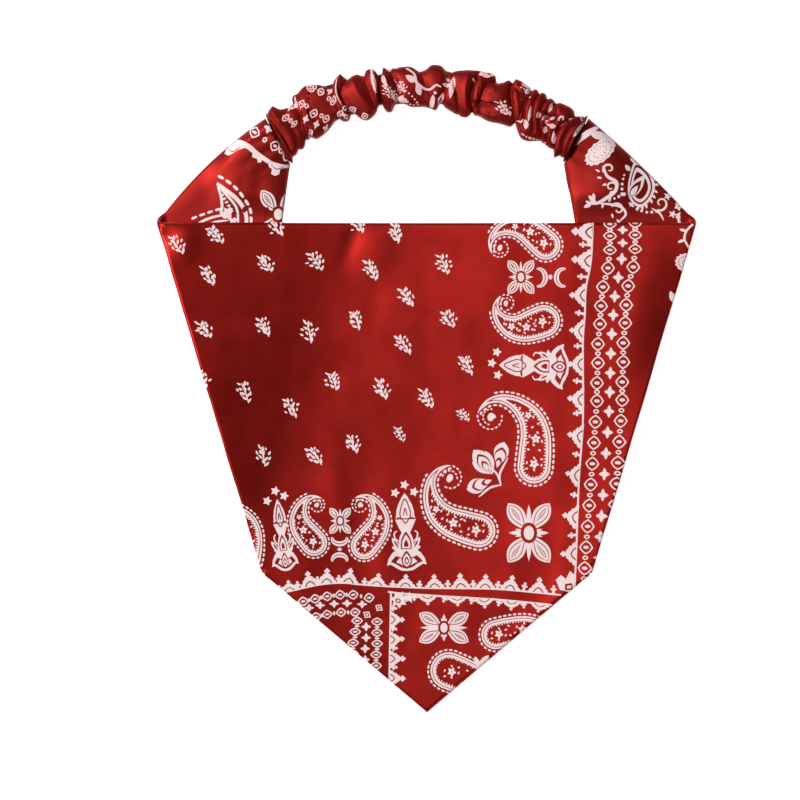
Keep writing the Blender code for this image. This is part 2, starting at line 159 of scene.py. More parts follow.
class SideFold:
    """One side's fold line and the wing folded behind it. A place near it is (down, inward)."""

    def __init__(self, side):
        self.side = side
        self.top = np.array((side * TOP_WIDTH / 2, TOP_HEM_Y))
        self.foot = np.array((side * FOLD_FOOT_X, FOLD_FOOT_Y))
        span = self.foot - self.top
        self.length = float(np.hypot(*span))
        self.down = span / self.length
        self.inward = np.array((-side * abs(self.down[1]), abs(self.down[0])))
        self.end_inner = np.array((side * WING_END_INNER[0], WING_END_INNER[1]))
        self.end_outer = np.array((side * WING_END_OUTER[0], WING_END_OUTER[1]))
        self.edge_bow = EDGE_BOW[side]
        self.hem_bow = HEM_BOW[side]

    def place(self, points):
        offset = np.asarray(points, float) - self.top
        return offset @ self.down, offset @ self.inward

    def point(self, down, inward):
        down, inward = np.broadcast_arrays(np.asarray(down, float), np.asarray(inward, float))
        return self.top + down[..., None] * self.down + inward[..., None] * self.inward

    def radius(self, down):
        share = np.clip(down / self.length, 0.0, 1.0)
        return mix(FOLD_RADIUS_TOP, FOLD_RADIUS_FOOT, share)

    def bend_line(self, down):
        return self.radius(down) + WALL / 2

    def crossing(self, start, towards):
        _, inward = self.place(towards)
        start_down, start_inward = self.place(start)
        share = (self.bend_line(start_down) - start_inward) / (inward - start_inward)
        return start + (towards - start) * share

    def hem_inward(self, down):
        end_down, end_inward = self.place(self.end_inner)
        return np.maximum(0.0, (self.length - down) / (self.length - end_down) * end_inward)

    def lift(self, points):
        """How far this fold and wing hold the panel's lower cloth off the table."""
        down, inward = self.place(points)
        crest = 2 * self.radius(down) - LAYER
        wing = 2 * LAYER
        hem = self.hem_inward(down)
        flat = hem + mix(RUN_OUT_TOP, RUN_OUT_FOOT, np.clip(down / self.length, 0.0, 1.0))
        over_wing = 1 - smoothstep(hem + HEM_MARGIN, flat, inward)
        near_fold = 1 - smoothstep(self.bend_line(down), CREST_SHARE * flat, inward)
        return wing * over_wing + (crest - wing) * near_fold

    def bowed(self, start, end, share, bow):
        share = np.asarray(share, float)[..., None]
        along = (end - start) / np.hypot(*(end - start))
        out = np.array((-along[1], along[0]))
        if out @ self.inward > 0:
            out = -out
        return mix(start, end, share) + out * (bow * 4 * share * (1 - share))

    def outer_edge(self, share):
        return self.bowed(self.top, self.end_outer, share, self.edge_bow)

    def inner_hem(self, share):
        start = self.crossing(self.foot, self.end_inner)
        return self.bowed(start, self.end_inner, share, self.hem_bow)

    def back_from_end(self, points):
        along_end = (self.end_outer - self.end_inner) / np.hypot(*(self.end_outer - self.end_inner))
        into_wing = np.array((-along_end[1], along_end[0]))
        if into_wing @ (self.foot - self.end_inner) < 0:
            into_wing = -into_wing
        return (points - self.end_inner) @ into_wing, (points - self.end_inner) @ along_end

    def across_wing(self, points):
        """Share of the way from the inner hem to the outer edge, along rows that span the wing."""
        shares = np.linspace(0, 1, WING_ROWS)
        inner, outer = self.inner_hem(shares), self.outer_edge(mix(WING_FIRST, 1.0, shares))
        best = np.full(len(points), np.inf)
        across = np.full(len(points), 0.5)
        off_before, at_before = best, across
        for a, b in zip(inner, outer):
            row = b - a
            at = (points - a) @ row / (row @ row)
            off = (points - a) @ np.array((-row[1], row[0])) / np.hypot(*row)
            with np.errstate(invalid="ignore"):
                share = np.clip(off_before / (off_before - off), 0.0, 1.0)
            between = np.isfinite(off_before) & (off_before * off <= 0)
            apart = np.where(between, 0.0, np.abs(off))
            value = np.where(between, at_before + (at - at_before) * share, at)
            nearer = apart < best
            best = np.where(nearer, apart, best)
            across = np.where(nearer, value, across)
            off_before, at_before = off, at
        return np.clip(across, 0.0, 1.0)

    def puff(self, points):
        """How far the wing's upper cloth stands off the lower one, and how free it is of its hems."""
        back, _ = self.back_from_end(points)
        raised = 1 - smoothstep(MOUTH_FULL, MOUTH_START[self.side], np.maximum(0.0, back))
        low, high = TOP_HEM_Y + HEM_CLEAR_LOW, TOP_HEM_Y + HEM_CLEAR_HIGH
        raised = raised * smoothstep(low, high, points[:, 1])
        across = np.zeros(len(points))
        near = points[:, 1] > WING_LOW
        if near.any():
            across[near] = self.across_wing(points[near])
        leant = across ** PUFF_LEAN[self.side]
        height = MOUTH_PUFF * raised * (4 * leant * (1 - leant)) ** PUFF_POWER[self.side]
        return height, smoothstep(0.0, HEM_FREE, 4 * across * (1 - across))


FOLDS = {LEFT: SideFold(LEFT), RIGHT: SideFold(RIGHT)}


def lower_hem_y(x):
    return mix(TIP_Y, FOLD_FOOT_Y, np.abs(x) / FOLD_FOOT_X)


def blobs(points, table):
    """Sum of long soft ridges and troughs."""
    total = np.zeros(len(points))
    for x, y, heading_deg, half_length, half_width, height in table:
        heading = math.radians(heading_deg)
        dx, dy = points[:, 0] - x, points[:, 1] - y
        along = (dx * math.cos(heading) + dy * math.sin(heading)) / half_length
        across = (dy * math.cos(heading) - dx * math.sin(heading)) / half_width
        total += height * np.exp(-(along**2) - across**2)
    return total


def hem_fade(points):
    low = lower_hem_y(points[:, 0])
    share = np.clip((points[:, 1] - low) / (TOP_HEM_Y - low), 0.0, 1.0)
    return smoothstep(0, RIDGE_FADE, share) * smoothstep(0, RIDGE_FADE, 1 - share)


def lower_height(points):
    return WALL / 2 + FOLDS[LEFT].lift(points) + FOLDS[RIGHT].lift(points)


def steepness(points):
    here = lower_height(points)
    rise_x = (lower_height(points + (SLOPE_STEP, 0)) - here) / SLOPE_STEP
    rise_y = (lower_height(points + (0, SLOPE_STEP)) - here) / SLOPE_STEP
    return np.sqrt(1 + rise_x**2 + rise_y**2)


# Soft creases and slack that only the looks have: on the panel, and on the wings' upper cloth
PANEL_SLACK = (
    (-0.1120, 0.0690, 75, 0.0120, 0.0065, 0.0010),
    (-0.0350, 0.0690, 70, 0.0130, 0.0040, -0.0004),
    (-0.0235, 0.0640, 66, 0.0150, 0.0080, 0.0005),
    (-0.0394, -0.0653, 98, 0.0420, 0.0055, 0.00014),
    (-0.0579, -0.0830, 92, 0.0240, 0.0052, 0.00026),
    (-0.0200, -0.0800, 100, 0.0300, 0.0075, 0.00022),
    (0.0180, 0.0180, 78, 0.0600, 0.0160, 0.00025),
    (0.0420, -0.0760, 70, 0.0300, 0.0090, 0.00025),
)
WING_SLACK = (
    (0.0731, 0.0986, 108, 0.0180, 0.0100, -0.0036),
    (0.0838, 0.1116, -60, 0.0150, 0.0090, 0.0015),
    (0.1051, 0.1042, -50, 0.0170, 0.0100, 0.0010),
    (0.1181, 0.0847, -40, 0.0100, 0.0080, 0.0011),
    (0.0713, 0.0912, -38, 0.0085, 0.0032, -0.0006),
    (-0.0866, 0.1194, 42, 0.0240, 0.0105, 0.0026),
    (-0.0741, 0.0954, 92, 0.0160, 0.0095, -0.0022),
    (-0.1190, 0.0931, 50, 0.0170, 0.0085, 0.0022),
    (-0.0921, 0.0931, 80, 0.0130, 0.0075, 0.0010),
    (-0.0782, 0.0931, 80, 0.0090, 0.0034, -0.0005),
)
RIDGE_SHARE = 0.20  # of the solid's ridges, which real satin keeps lower
HEM_FLAT, SLACK_FADE = 0.0040, 0.1  # within this of the top hem and, as a share, of all hems
SLACK_WAVES = ((0.00014, 5, 0.060), (0.00002, 8, 0.014))  # height, seed and wavelength
PLEAT_HEIGHT, PLEAT_REACH, PLEAT_COUNT = 0.0003, 0.0120, 4.0
PLEAT_SPREAD, PLEAT_FALLOFF, PLEAT_SHIFT = 9.0, 1.3, 0.9
PLEAT_EDGES = (0.5, 0.32)  # shares of a wing's end, from its middle, between which they come up


def slack(points):
    """Fine unevenness of a cloth that lies loose."""
    x, y = points[:, 0], points[:, 1]
    return sum(height * ripples(x, y, seed, length) for height, seed, length in SLACK_WAVES)


def pleats(fold, points):
    """Small pleats that run back into a wing from the band."""
    back, along = fold.back_from_end(points)
    width = np.hypot(*(fold.end_outer - fold.end_inner))
    back = np.maximum(back, 0.0)
    phase = (along / width - 0.5) / (1 + back * PLEAT_SPREAD)
    draw = np.cos(phase * PLEAT_COUNT * 2 * math.pi + fold.side * PLEAT_SHIFT)
    fade = np.exp(-((back / PLEAT_REACH) ** PLEAT_FALLOFF))
    return PLEAT_HEIGHT * draw * fade * smoothstep(*PLEAT_EDGES, np.abs(phase))


# How each side's cloth has settled off its fold: the height that it comes from and how far inward
# its slope runs out. Rows are places along the fold.
SETTLED = {
    LEFT: (
        (-0.010, 0.0078, 0.084), (0.034, 0.0092, 0.074), (0.071, 0.0088, 0.064), (0.101, 0.0068, 0.045),
        (0.116, 0.0055, 0.036), (0.131, 0.0043, 0.029), (0.145, 0.0032, 0.032), (0.170, 0.0028, 0.040),
    ),
    RIGHT: (
        (-0.010, 0.0038, 0.080), (0.034, 0.0040, 0.078), (0.071, 0.0040, 0.070), (0.101, 0.0040, 0.056),
        (0.131, 0.0038, 0.046), (0.170, 0.0034, 0.034),
    ),
}
SETTLED_EASE = 0.008  # the length along the fold over which the rows run into each other
SOFT_END = {LEFT: 0.008, RIGHT: 0.013}  # how softly the slope runs out
MOST_SLOPE = 1.2  # times the height that it comes from, where it leaves the fold
WING_TAIL = {LEFT: 0.048, RIGHT: 0.075}  # past a wing's hem, how far the wing holds the cloth up
TAIL_POWER = 1.4
WING_STACK = 0.0018  # a wing's two cloths, which lie closer than the solids' walls
BLUNT = 0.0005  # how softly the two run into each other
# The right edge sags here: how far in, how deep, and where along the fold
SAG_REACH, SAG_DEPTH, SAG_AT, SAG_LENGTH, SAG_POWER = 0.0170, 0.0012, 0.045, 0.030, 1.6
# How square the folds' section is, at its top and below; at 2 it would be round
SQUARE_TOP, SQUARE_LOW = 18.0, 2.6
SLOPE_REACH, EDGE_SLOPES = 0.0012, (-0.16, 0.15)
# How far the folds' line wavers, as a share of their radius, and over what length
FOLD_WAVE, WAVE_LENGTH, WAVE_SEED = 0.045, 0.030, 61
# How freely a wing's upper cloth bends down, and where it starts to differ from the solid
WING_ROOM, WING_SHOWS = 0.0014, (TOP_HEM_Y - 0.002, TOP_HEM_Y + 0.010)


def fold_section():
    """A fold's section from the panel to the wing: share of the way, how far out, how high, in radii."""
    way = np.linspace(0, math.pi, 721)
    sine, cosine = np.sin(way), np.cos(way)
    square = np.where(cosine > 0, SQUARE_TOP, SQUARE_LOW)
    reach = (np.abs(sine) ** square + np.abs(cosine) ** square) ** (-1 / square)
    out, level = reach * sine, reach * cosine
    run = np.r_[0.0, np.cumsum(np.hypot(np.diff(out), np.diff(level)))]
    return run / run[-1], out, level


FOLD_SHARE, FOLD_OUT, FOLD_LEVEL = fold_section()


def eased(rows):
    """Rows of SETTLED run into each other: places along the fold, heights and reaches."""
    rows = np.array(rows)
    fine = np.linspace(rows[0, 0], rows[-1, 0], 90)
    ease = np.exp(-(((fine[:, None] - fine[None]) / SETTLED_EASE) ** 2))
    ease /= ease.sum(axis=1)[:, None]
    return fine, *(ease @ np.interp(fine, rows[:, 0], rows[:, k]) for k in (1, 2))


SETTLED_FINE = {side: eased(rows) for side, rows in SETTLED.items()}


def settled_level(points, side):
    """How high one side's fold and wing hold the cloth beside them, as that has settled."""
    fold = FOLDS[side]
    down, inward = fold.place(points)
    line = fold.bend_line(down)
    places, heights, reaches = SETTLED_FINE[side]
    crest, reach = np.interp(down, places, heights), np.interp(down, places, reaches)
    soft = SOFT_END[side]
    left = soft * np.logaddexp(0.0, (reach - inward) / soft) / (reach - line)
    slope = crest * np.minimum(left, MOST_SLOPE)
    tail = np.clip((fold.hem_inward(down) + WING_TAIL[side] - inward) / WING_TAIL[side], 0, 1)
    wing = WING_STACK * tail**TAIL_POWER
    # the higher of the two, run softly into each other
    both = np.logaddexp(slope / BLUNT, wing / BLUNT)
    level = BLUNT * (both - math.log(2) * np.exp(-(slope + wing) / BLUNT))
    if side == RIGHT:
        share = np.clip((SAG_REACH - inward) / (SAG_REACH - line), 0, 1)
        level = level - SAG_DEPTH * share**SAG_POWER * np.exp(-(((down - SAG_AT) / SAG_LENGTH) ** 2))
    return level


def panel_level(spot, front):
    """How high the middle of the panel's cloth is, of the front cloth or of the back one."""
    level = WALL / 2 + settled_level(spot, LEFT) + settled_level(spot, RIGHT)
    if front:
        fade = hem_fade(spot)
        level = level + LAYER * steepness(spot) + fade * RIDGE_SHARE * blobs(spot, RIDGES)
        near_hem = smoothstep(0.0, HEM_FLAT, TOP_HEM_Y - spot[:, 1])
        level = level + near_hem * blobs(spot, PANEL_SLACK) + smoothstep(0, SLACK_FADE, fade) * slack(spot)
    return level


def wing_level(fold, spot):
    """How high the middle of a wing's upper cloth is."""
    puff, hold = fold.puff(spot)
    room = puff / (puff + WING_ROOM)
    extra = blobs(spot, WING_SLACK) + pleats(fold, spot)
    extra = smoothstep(*WING_SHOWS, spot[:, 1]) * extra * np.where(extra > 0, hold, room)
    return WALL / 2 + LAYER + puff + extra


def cloth_middle(cut, front):
    """Where points of the flat cut lie on the made headscarf: the middle of the cloth's wall."""
    placed = np.empty((len(cut), 3))
    for side, fold in FOLDS.items():
        chosen = (cut[:, 0] >= 0) == (side == RIGHT)
        down, inward = fold.place(cut[chosen])
        outer_radius = fold.radius(down)
        radius = outer_radius if front else outer_radius - LAYER
        line = fold.bend_line(down)
        turn = np.clip((line - inward) / radius, 0.0, math.pi)
        panel, wing = turn <= 0, turn >= math.pi
        out, level = (np.interp(turn / math.pi, FOLD_SHARE, column) for column in (FOLD_OUT, FOLD_LEVEL))
        wave = 1 + FOLD_WAVE * ripples(down, down * 0, WAVE_SEED + side, WAVE_LENGTH)
        lies = np.where(wing, 2 * line - math.pi * radius - inward, line - radius * out * wave)
        flat = fold.point(down, np.where(panel, inward, lies))
        # the fold starts from the panel's own height and goes on rising as the panel does
        edge = panel_level(fold.point(down, line), front)
        before = panel_level(fold.point(down, line + SLOPE_REACH), front)
        slope = np.clip((edge - before) / SLOPE_REACH, *EDGE_SLOPES)
        rise = edge - (WALL / 2 + outer_radius + radius) + slope * radius * out
        height = WALL / 2 + outer_radius + radius * level + rise * (1 + level) / 2
        height[panel] = panel_level(flat[panel], front)
        height[wing] = WALL / 2 if front else wing_level(fold, flat[wing])
        placed[chosen] = np.column_stack((flat, height))
    return placed


def to_cut(fold, points, front):
    """Where points of a wing, as it lies, are on the flat cut. It is also its own reverse."""
    down, inward = fold.place(points)
    radius = fold.radius(down) - (0.0 if front else LAYER)
    return fold.point(down, 2 * fold.bend_line(down) - math.pi * radius - inward)


def spaced(line, step):
    """The same line with a point about every step along it, both ends kept."""
    line = np.asarray(line, float)
    lengths = np.r_[0.0, np.cumsum(np.hypot(*np.diff(line, axis=0).T))]
    count = max(1, int(round(lengths[-1] / step)))
    at = np.linspace(0, lengths[-1], count + 1)
    return np.column_stack([np.interp(at, lengths, line[:, k]) for k in (0, 1)])


def half_outline(fold, front, step):
    """One side's stretches of the cut, from the middle of the top hem round to the tip."""
    shares = np.linspace(0, 1, 60)
    middle_top = np.array((0.0, TOP_HEM_Y))
    tip = np.array((0.0, TIP_Y))
    top = fold.crossing(fold.top, middle_top)
    heading = fold.outer_edge(EDGE_START_SHARE) - fold.top
    foot = fold.crossing(fold.foot, tip)
    back_foot = fold.crossing(fold.foot, fold.end_inner)
    back_top = fold.crossing(fold.top, fold.top + heading)
    thinner = 0.0 if front else LAYER

    def bend(start, end):
        down = mix(fold.place(start)[0], fold.place(end)[0], shares)
        radius = fold.radius(down) - thinner
        return fold.point(down, fold.bend_line(down) - math.pi * radius * shares)

    edge = fold.outer_edge(np.linspace(0, 1, 400))
    down, inward = fold.place(edge)
    edge = edge[inward > fold.bend_line(down) + 0.0002]
    edge = np.vstack((back_top[None], edge))
    hem = fold.inner_hem(shares)[::-1]
    stretches = (
        (mix(middle_top, top, shares[:, None]), "hem"),
        (bend(top, back_top), "hem"),
        (to_cut(fold, edge, front), "hem"),
        (to_cut(fold, mix(fold.end_outer, fold.end_inner, shares[:, None]), front), "end"),
        (to_cut(fold, hem, front), "hem"),
        (bend(foot, back_foot)[::-1], "hem"),
        (mix(foot, tip, shares[:, None]), "hem"),
    )
    return [(spaced(line, step), kind) for line, kind in stretches]


def cut_outline(front, step=0.0016):
    """The cut's outline as one loop, and the kind of each of its edges."""
    points, kinds = [], []
    right = half_outline(FOLDS[RIGHT], front, step)
    left = [(line[::-1], kind) for line, kind in half_outline(FOLDS[LEFT], front, step)[::-1]]
    for line, kind in right + left:
        points.extend(line[:-1])
        kinds.extend([kind] * (len(line) - 1))
    return np.array(points), np.array(kinds)


def inside(loop, points):
    """Whether each point is inside a loop."""
    result = np.zeros(len(points), bool)
    box_low, box_high = loop.min(0), loop.max(0)
    near = np.all((points >= box_low) & (points <= box_high), axis=1)
    index = np.flatnonzero(near)
    if len(index) == 0:
        return result
    x, y = points[index, 0], points[index, 1]
    odd = np.zeros(len(index), bool)
    following = np.roll(loop, -1, axis=0)
    for (x0, y0), (x1, y1) in zip(loop, following):
        if y0 == y1:
            continue
        spans = (y0 > y) != (y1 > y)
        odd ^= spans & (x < (x1 - x0) * (y - y0) / (y1 - y0) + x0)
    result[index] = odd
    return result


def distance_to(points, starts, ends):
    """Distance of each point to the nearest of some straight edges."""
    nearest = np.full(len(points), np.inf)
    for a, b in zip(starts, ends):
        run = b - a
        share = np.clip((points - a) @ run / max(run @ run, 1e-18), 0, 1)
        offset = points - a - share[:, None] * run
        nearest = np.minimum(nearest, np.einsum("ij,ij->i", offset, offset))
    return np.sqrt(nearest)


def triangulated(boundary, loops, grid):
    """Triangles over the inside of a boundary, with every loop's edges in them."""
    points = [boundary]
    edges = [np.column_stack((np.arange(len(boundary)), np.roll(np.arange(len(boundary)), -1)))]
    count = len(boundary)
    for loop in loops:
        points.append(loop)
        here = np.arange(count, count + len(loop))
        edges.append(np.column_stack((here, np.roll(here, -1))))
        count += len(loop)
    points.append(grid)
    flat = np.vstack(points) / MM
    vertices, _, faces, *_ = delaunay_2d_cdt(
        [tuple(p) for p in flat.tolist()], np.vstack(edges).tolist(), [], 0, 1e-4, False
    )
    flat = np.array([(v[0], v[1]) for v in vertices]) * MM
    faces = np.array([f for f in faces if len(f) == 3])
    centres = flat[faces].mean(axis=1)
    faces = faces[inside(boundary, centres)]
    a, b, c = (flat[faces[:, k]] for k in range(3))
    area = (b[:, 0] - a[:, 0]) * (c[:, 1] - a[:, 1]) - (b[:, 1] - a[:, 1]) * (c[:, 0] - a[:, 0])
    faces = np.where(area[:, None] > 0, faces, faces[:, ::-1])[np.abs(area) > 1e-13]
    used, index = np.unique(faces, return_inverse=True)
    return flat[used], index.reshape(faces.shape)


def rim_of(faces):
    """The border of a triangulated sheet, as one ordered loop of vertex numbers."""
    directed = np.vstack((faces[:, (0, 1)], faces[:, (1, 2)], faces[:, (2, 0)]))
    present = set(map(tuple, directed.tolist()))
    following = {a: b for a, b in present if (b, a) not in present}
    start = next(iter(following))
    loop, at = [start], following[start]
    while at != start:
        loop.append(at)
        at = following[at]
    return np.array(loop)


def painted(print_loops, flat, faces):
    """Which triangles carry ink: those whose last loop round their middle is an inked one."""
    centres = flat[faces].mean(axis=1)
    inked = np.zeros(len(faces), bool)
    order = np.argsort(centres[:, 0])
    ordered = centres[order]
    for loop, ink in print_loops:
        low = np.searchsorted(ordered[:, 0], loop[:, 0].min())
        high = np.searchsorted(ordered[:, 0], loop[:, 0].max())
        window = order[low:high]
        hit = window[inside(loop, centres[window])]
        inked[hit] = ink
    return inked


def vertex_normals(points, faces):
    a, b, c = (points[faces[:, k]] for k in range(3))
    weighted = np.cross(b - a, c - a)
    normals = np.zeros_like(points)
    for k in range(3):
        np.add.at(normals, faces[:, k], weighted)
    return normals / np.maximum(np.linalg.norm(normals, axis=1), 1e-12)[:, None]


def make_object(name, points, faces, inked, flat, normals, materials):
    mesh = bpy.data.meshes.new(name)
    mesh.vertices.add(len(points))
    mesh.vertices.foreach_set("co", points.astype(np.float32).ravel())
    mesh.loops.add(len(faces) * 3)
    mesh.loops.foreach_set("vertex_index", faces.astype(np.int32).ravel())
    mesh.polygons.add(len(faces))
    mesh.polygons.foreach_set("loop_start", np.arange(0, len(faces) * 3, 3, dtype=np.int32))
    mesh.polygons.foreach_set("material_index", inked.astype(np.int32))
    mesh.update(calc_edges=True)
    cut = mesh.attributes.new("cut", "FLOAT_VECTOR", "POINT")
    cut.data.foreach_set("vector", np.column_stack((flat, np.zeros(len(flat)))).astype(np.float32).ravel())
    for material in materials:
        mesh.materials.append(material)
    mesh.shade_smooth()
    mesh.normals_split_custom_set_from_vertices([tuple(n) for n in normals.tolist()])
    mesh.validate()
    made = bpy.data.objects.new(name, mesh)
    bpy.context.scene.collection.objects.link(made)
    return made


# --------------------------------------------------------------------------- the print's drawing
# Everything here is in photo units with y down, until to_metres.
class Ink:
    """Closed loops laid one over another: each is inked, or bare ground again."""

    def __init__(self):
        self.loops = []

    def ink(self, *loops):
        self.loops += [(np.asarray(loop, float), True) for loop in loops]

    def bare(self, *loops):
        self.loops += [(np.asarray(loop, float), False) for loop in loops]

    def nest(self, shape, shares, inked=True):
        """Loops one inside another, inked and bare by turns. shape makes each from its share."""
        for share in shares:
            self.loops.append((np.asarray(shape(share), float), inked))
            inked = not inked


def turned(points, angle):
    c, s = math.cos(angle), math.sin(angle)
    points = np.asarray(points, float)
    return points @ np.array(((c, s), (-s, c)))


def ellipse(centre, rx, ry=None, tilt=0.0, count=None):
    ry = rx if ry is None else ry
    count = count or max(7, int(5 + 1.6 * max(rx, ry)))
    angle = np.arange(count) * 2 * math.pi / count
    return np.asarray(centre) + turned(np.column_stack((rx * np.cos(angle), ry * np.sin(angle))), tilt)


def curve(points, step=1.2, closed=False):
    """A smooth line through points, of any number of columns."""
    points = np.asarray(points, float)
    if closed:
        padded = np.vstack((points[-1], points, points[:2]))
    else:
        first, last = 2 * points[0] - points[1], 2 * points[-1] - points[-2]
        padded = np.vstack((first, points, last))
    line = []
    for p0, p1, p2, p3 in zip(padded, padded[1:], padded[2:], padded[3:]):
        count = max(2, int(round(np.hypot(*(p2 - p1)[:2]) / step)))
        for t in np.arange(count) / count:
            a = 2 * p1 + (p2 - p0) * t + (2 * p0 - 5 * p1 + 4 * p2 - p3) * t * t
            line.append((a + (3 * p1 - p0 - 3 * p2 + p3) * t**3) / 2)
    if not closed:
        line.append(points[-1])
    return np.array(line)


def sides(line):
    """Unit vectors to the left of a line at each of its points."""
    run = np.gradient(line, axis=0)
    run /= np.maximum(np.hypot(*run.T), 1e-9)[:, None]
    return np.column_stack((-run[:, 1], run[:, 0]))


def ribbon(line, widths):
    out = sides(line) * np.broadcast_to(np.asarray(widths, float), (len(line),))[:, None] / 2
    return np.vstack((line + out, (line - out)[::-1]))


def stroke(points, width, taper=0.6, step=1.6):
    """A brush line that thins to its ends."""
    line = curve(points, step)
    share = np.linspace(0, 1, len(line))
    shape = 1 - taper * np.abs(2 * share - 1) ** 2.5
    return ribbon(line, width * shape)


def dashes(line, dash, gap, width):
    """Rounded dashes along a line."""
    lengths = np.r_[0.0, np.cumsum(np.hypot(*np.diff(line, axis=0).T))]
    count = max(1, int(round(lengths[-1] / (dash + gap))))
    pitch = lengths[-1] / count
    at = (np.arange(count) + 0.5) * pitch
    across = sides(line)
    loops = []
    for middle in at:
        centre = [np.interp(middle, lengths, line[:, k]) for k in (0, 1)]
        normal = [np.interp(middle, lengths, across[:, k]) for k in (0, 1)]
        tilt = math.atan2(-normal[0], normal[1])
        angle = np.array((0.12, 0.38, 0.62, 0.88, 1.12, 1.38, 1.62, 1.88)) * math.pi
        x = np.sign(np.cos(angle)) * np.abs(np.cos(angle)) ** 0.6 * dash * pitch / (dash + gap) / 2
        y = np.sin(angle) * width / 2
        loops.append(np.array(centre) + turned(np.column_stack((x, y)), tilt))
    return loops


def leaf(base, angle, length, width, belly=0.8, count=7):
    """A pointed leaf or petal from its base. angle is counted from +x towards up."""
    t = np.linspace(0, 1, count + 2)[1:-1]
    half = width / 2 * np.sin(math.pi * t**belly) ** 0.80
    upper = np.column_stack((t * length, half))
    lower = np.column_stack((t * length, -half))[::-1]
    outline = np.vstack(((0.0, 0.0), upper, (length, 0.0), lower))
    return np.asarray(base) + turned(outline, -angle)


def star(centre, points, outer, inner, tilt=0.0):
    angle = np.arange(points * 2) * math.pi / points + tilt
    reach = np.where(np.arange(points * 2) % 2 == 0, outer, inner)
    return np.asarray(centre) + np.column_stack((reach * np.sin(angle), -reach * np.cos(angle)))


def blossom(ink, centre, size, tilt=0.0, petals=5):
    """A small flower of round petals with a bare eye."""
    count = petals * 6
    angle = np.arange(count) * 2 * math.pi / count
    reach = size * (0.78 + 0.22 * np.cos(petals * angle))
    outline = np.column_stack((reach * np.cos(angle + tilt), reach * np.sin(angle + tilt)))
    ink.ink(np.asarray(centre) + outline)
    ink.bare(ellipse(centre, size * 0.16, count=6))


PAISLEY_SPINE = np.array((
    (0.00, 0.00, 1.00), (0.12, 0.90, 0.97), (0.17, 1.85, 0.88), (-0.08, 2.72, 0.72),
    (-0.74, 3.46, 0.48), (-1.55, 3.82, 0.28), (-2.25, 3.74, 0.16), (-2.76, 3.36, 0.07),
    (-2.95, 3.02, 0.00),
))
CURL = np.array((-2.22, 2.86))


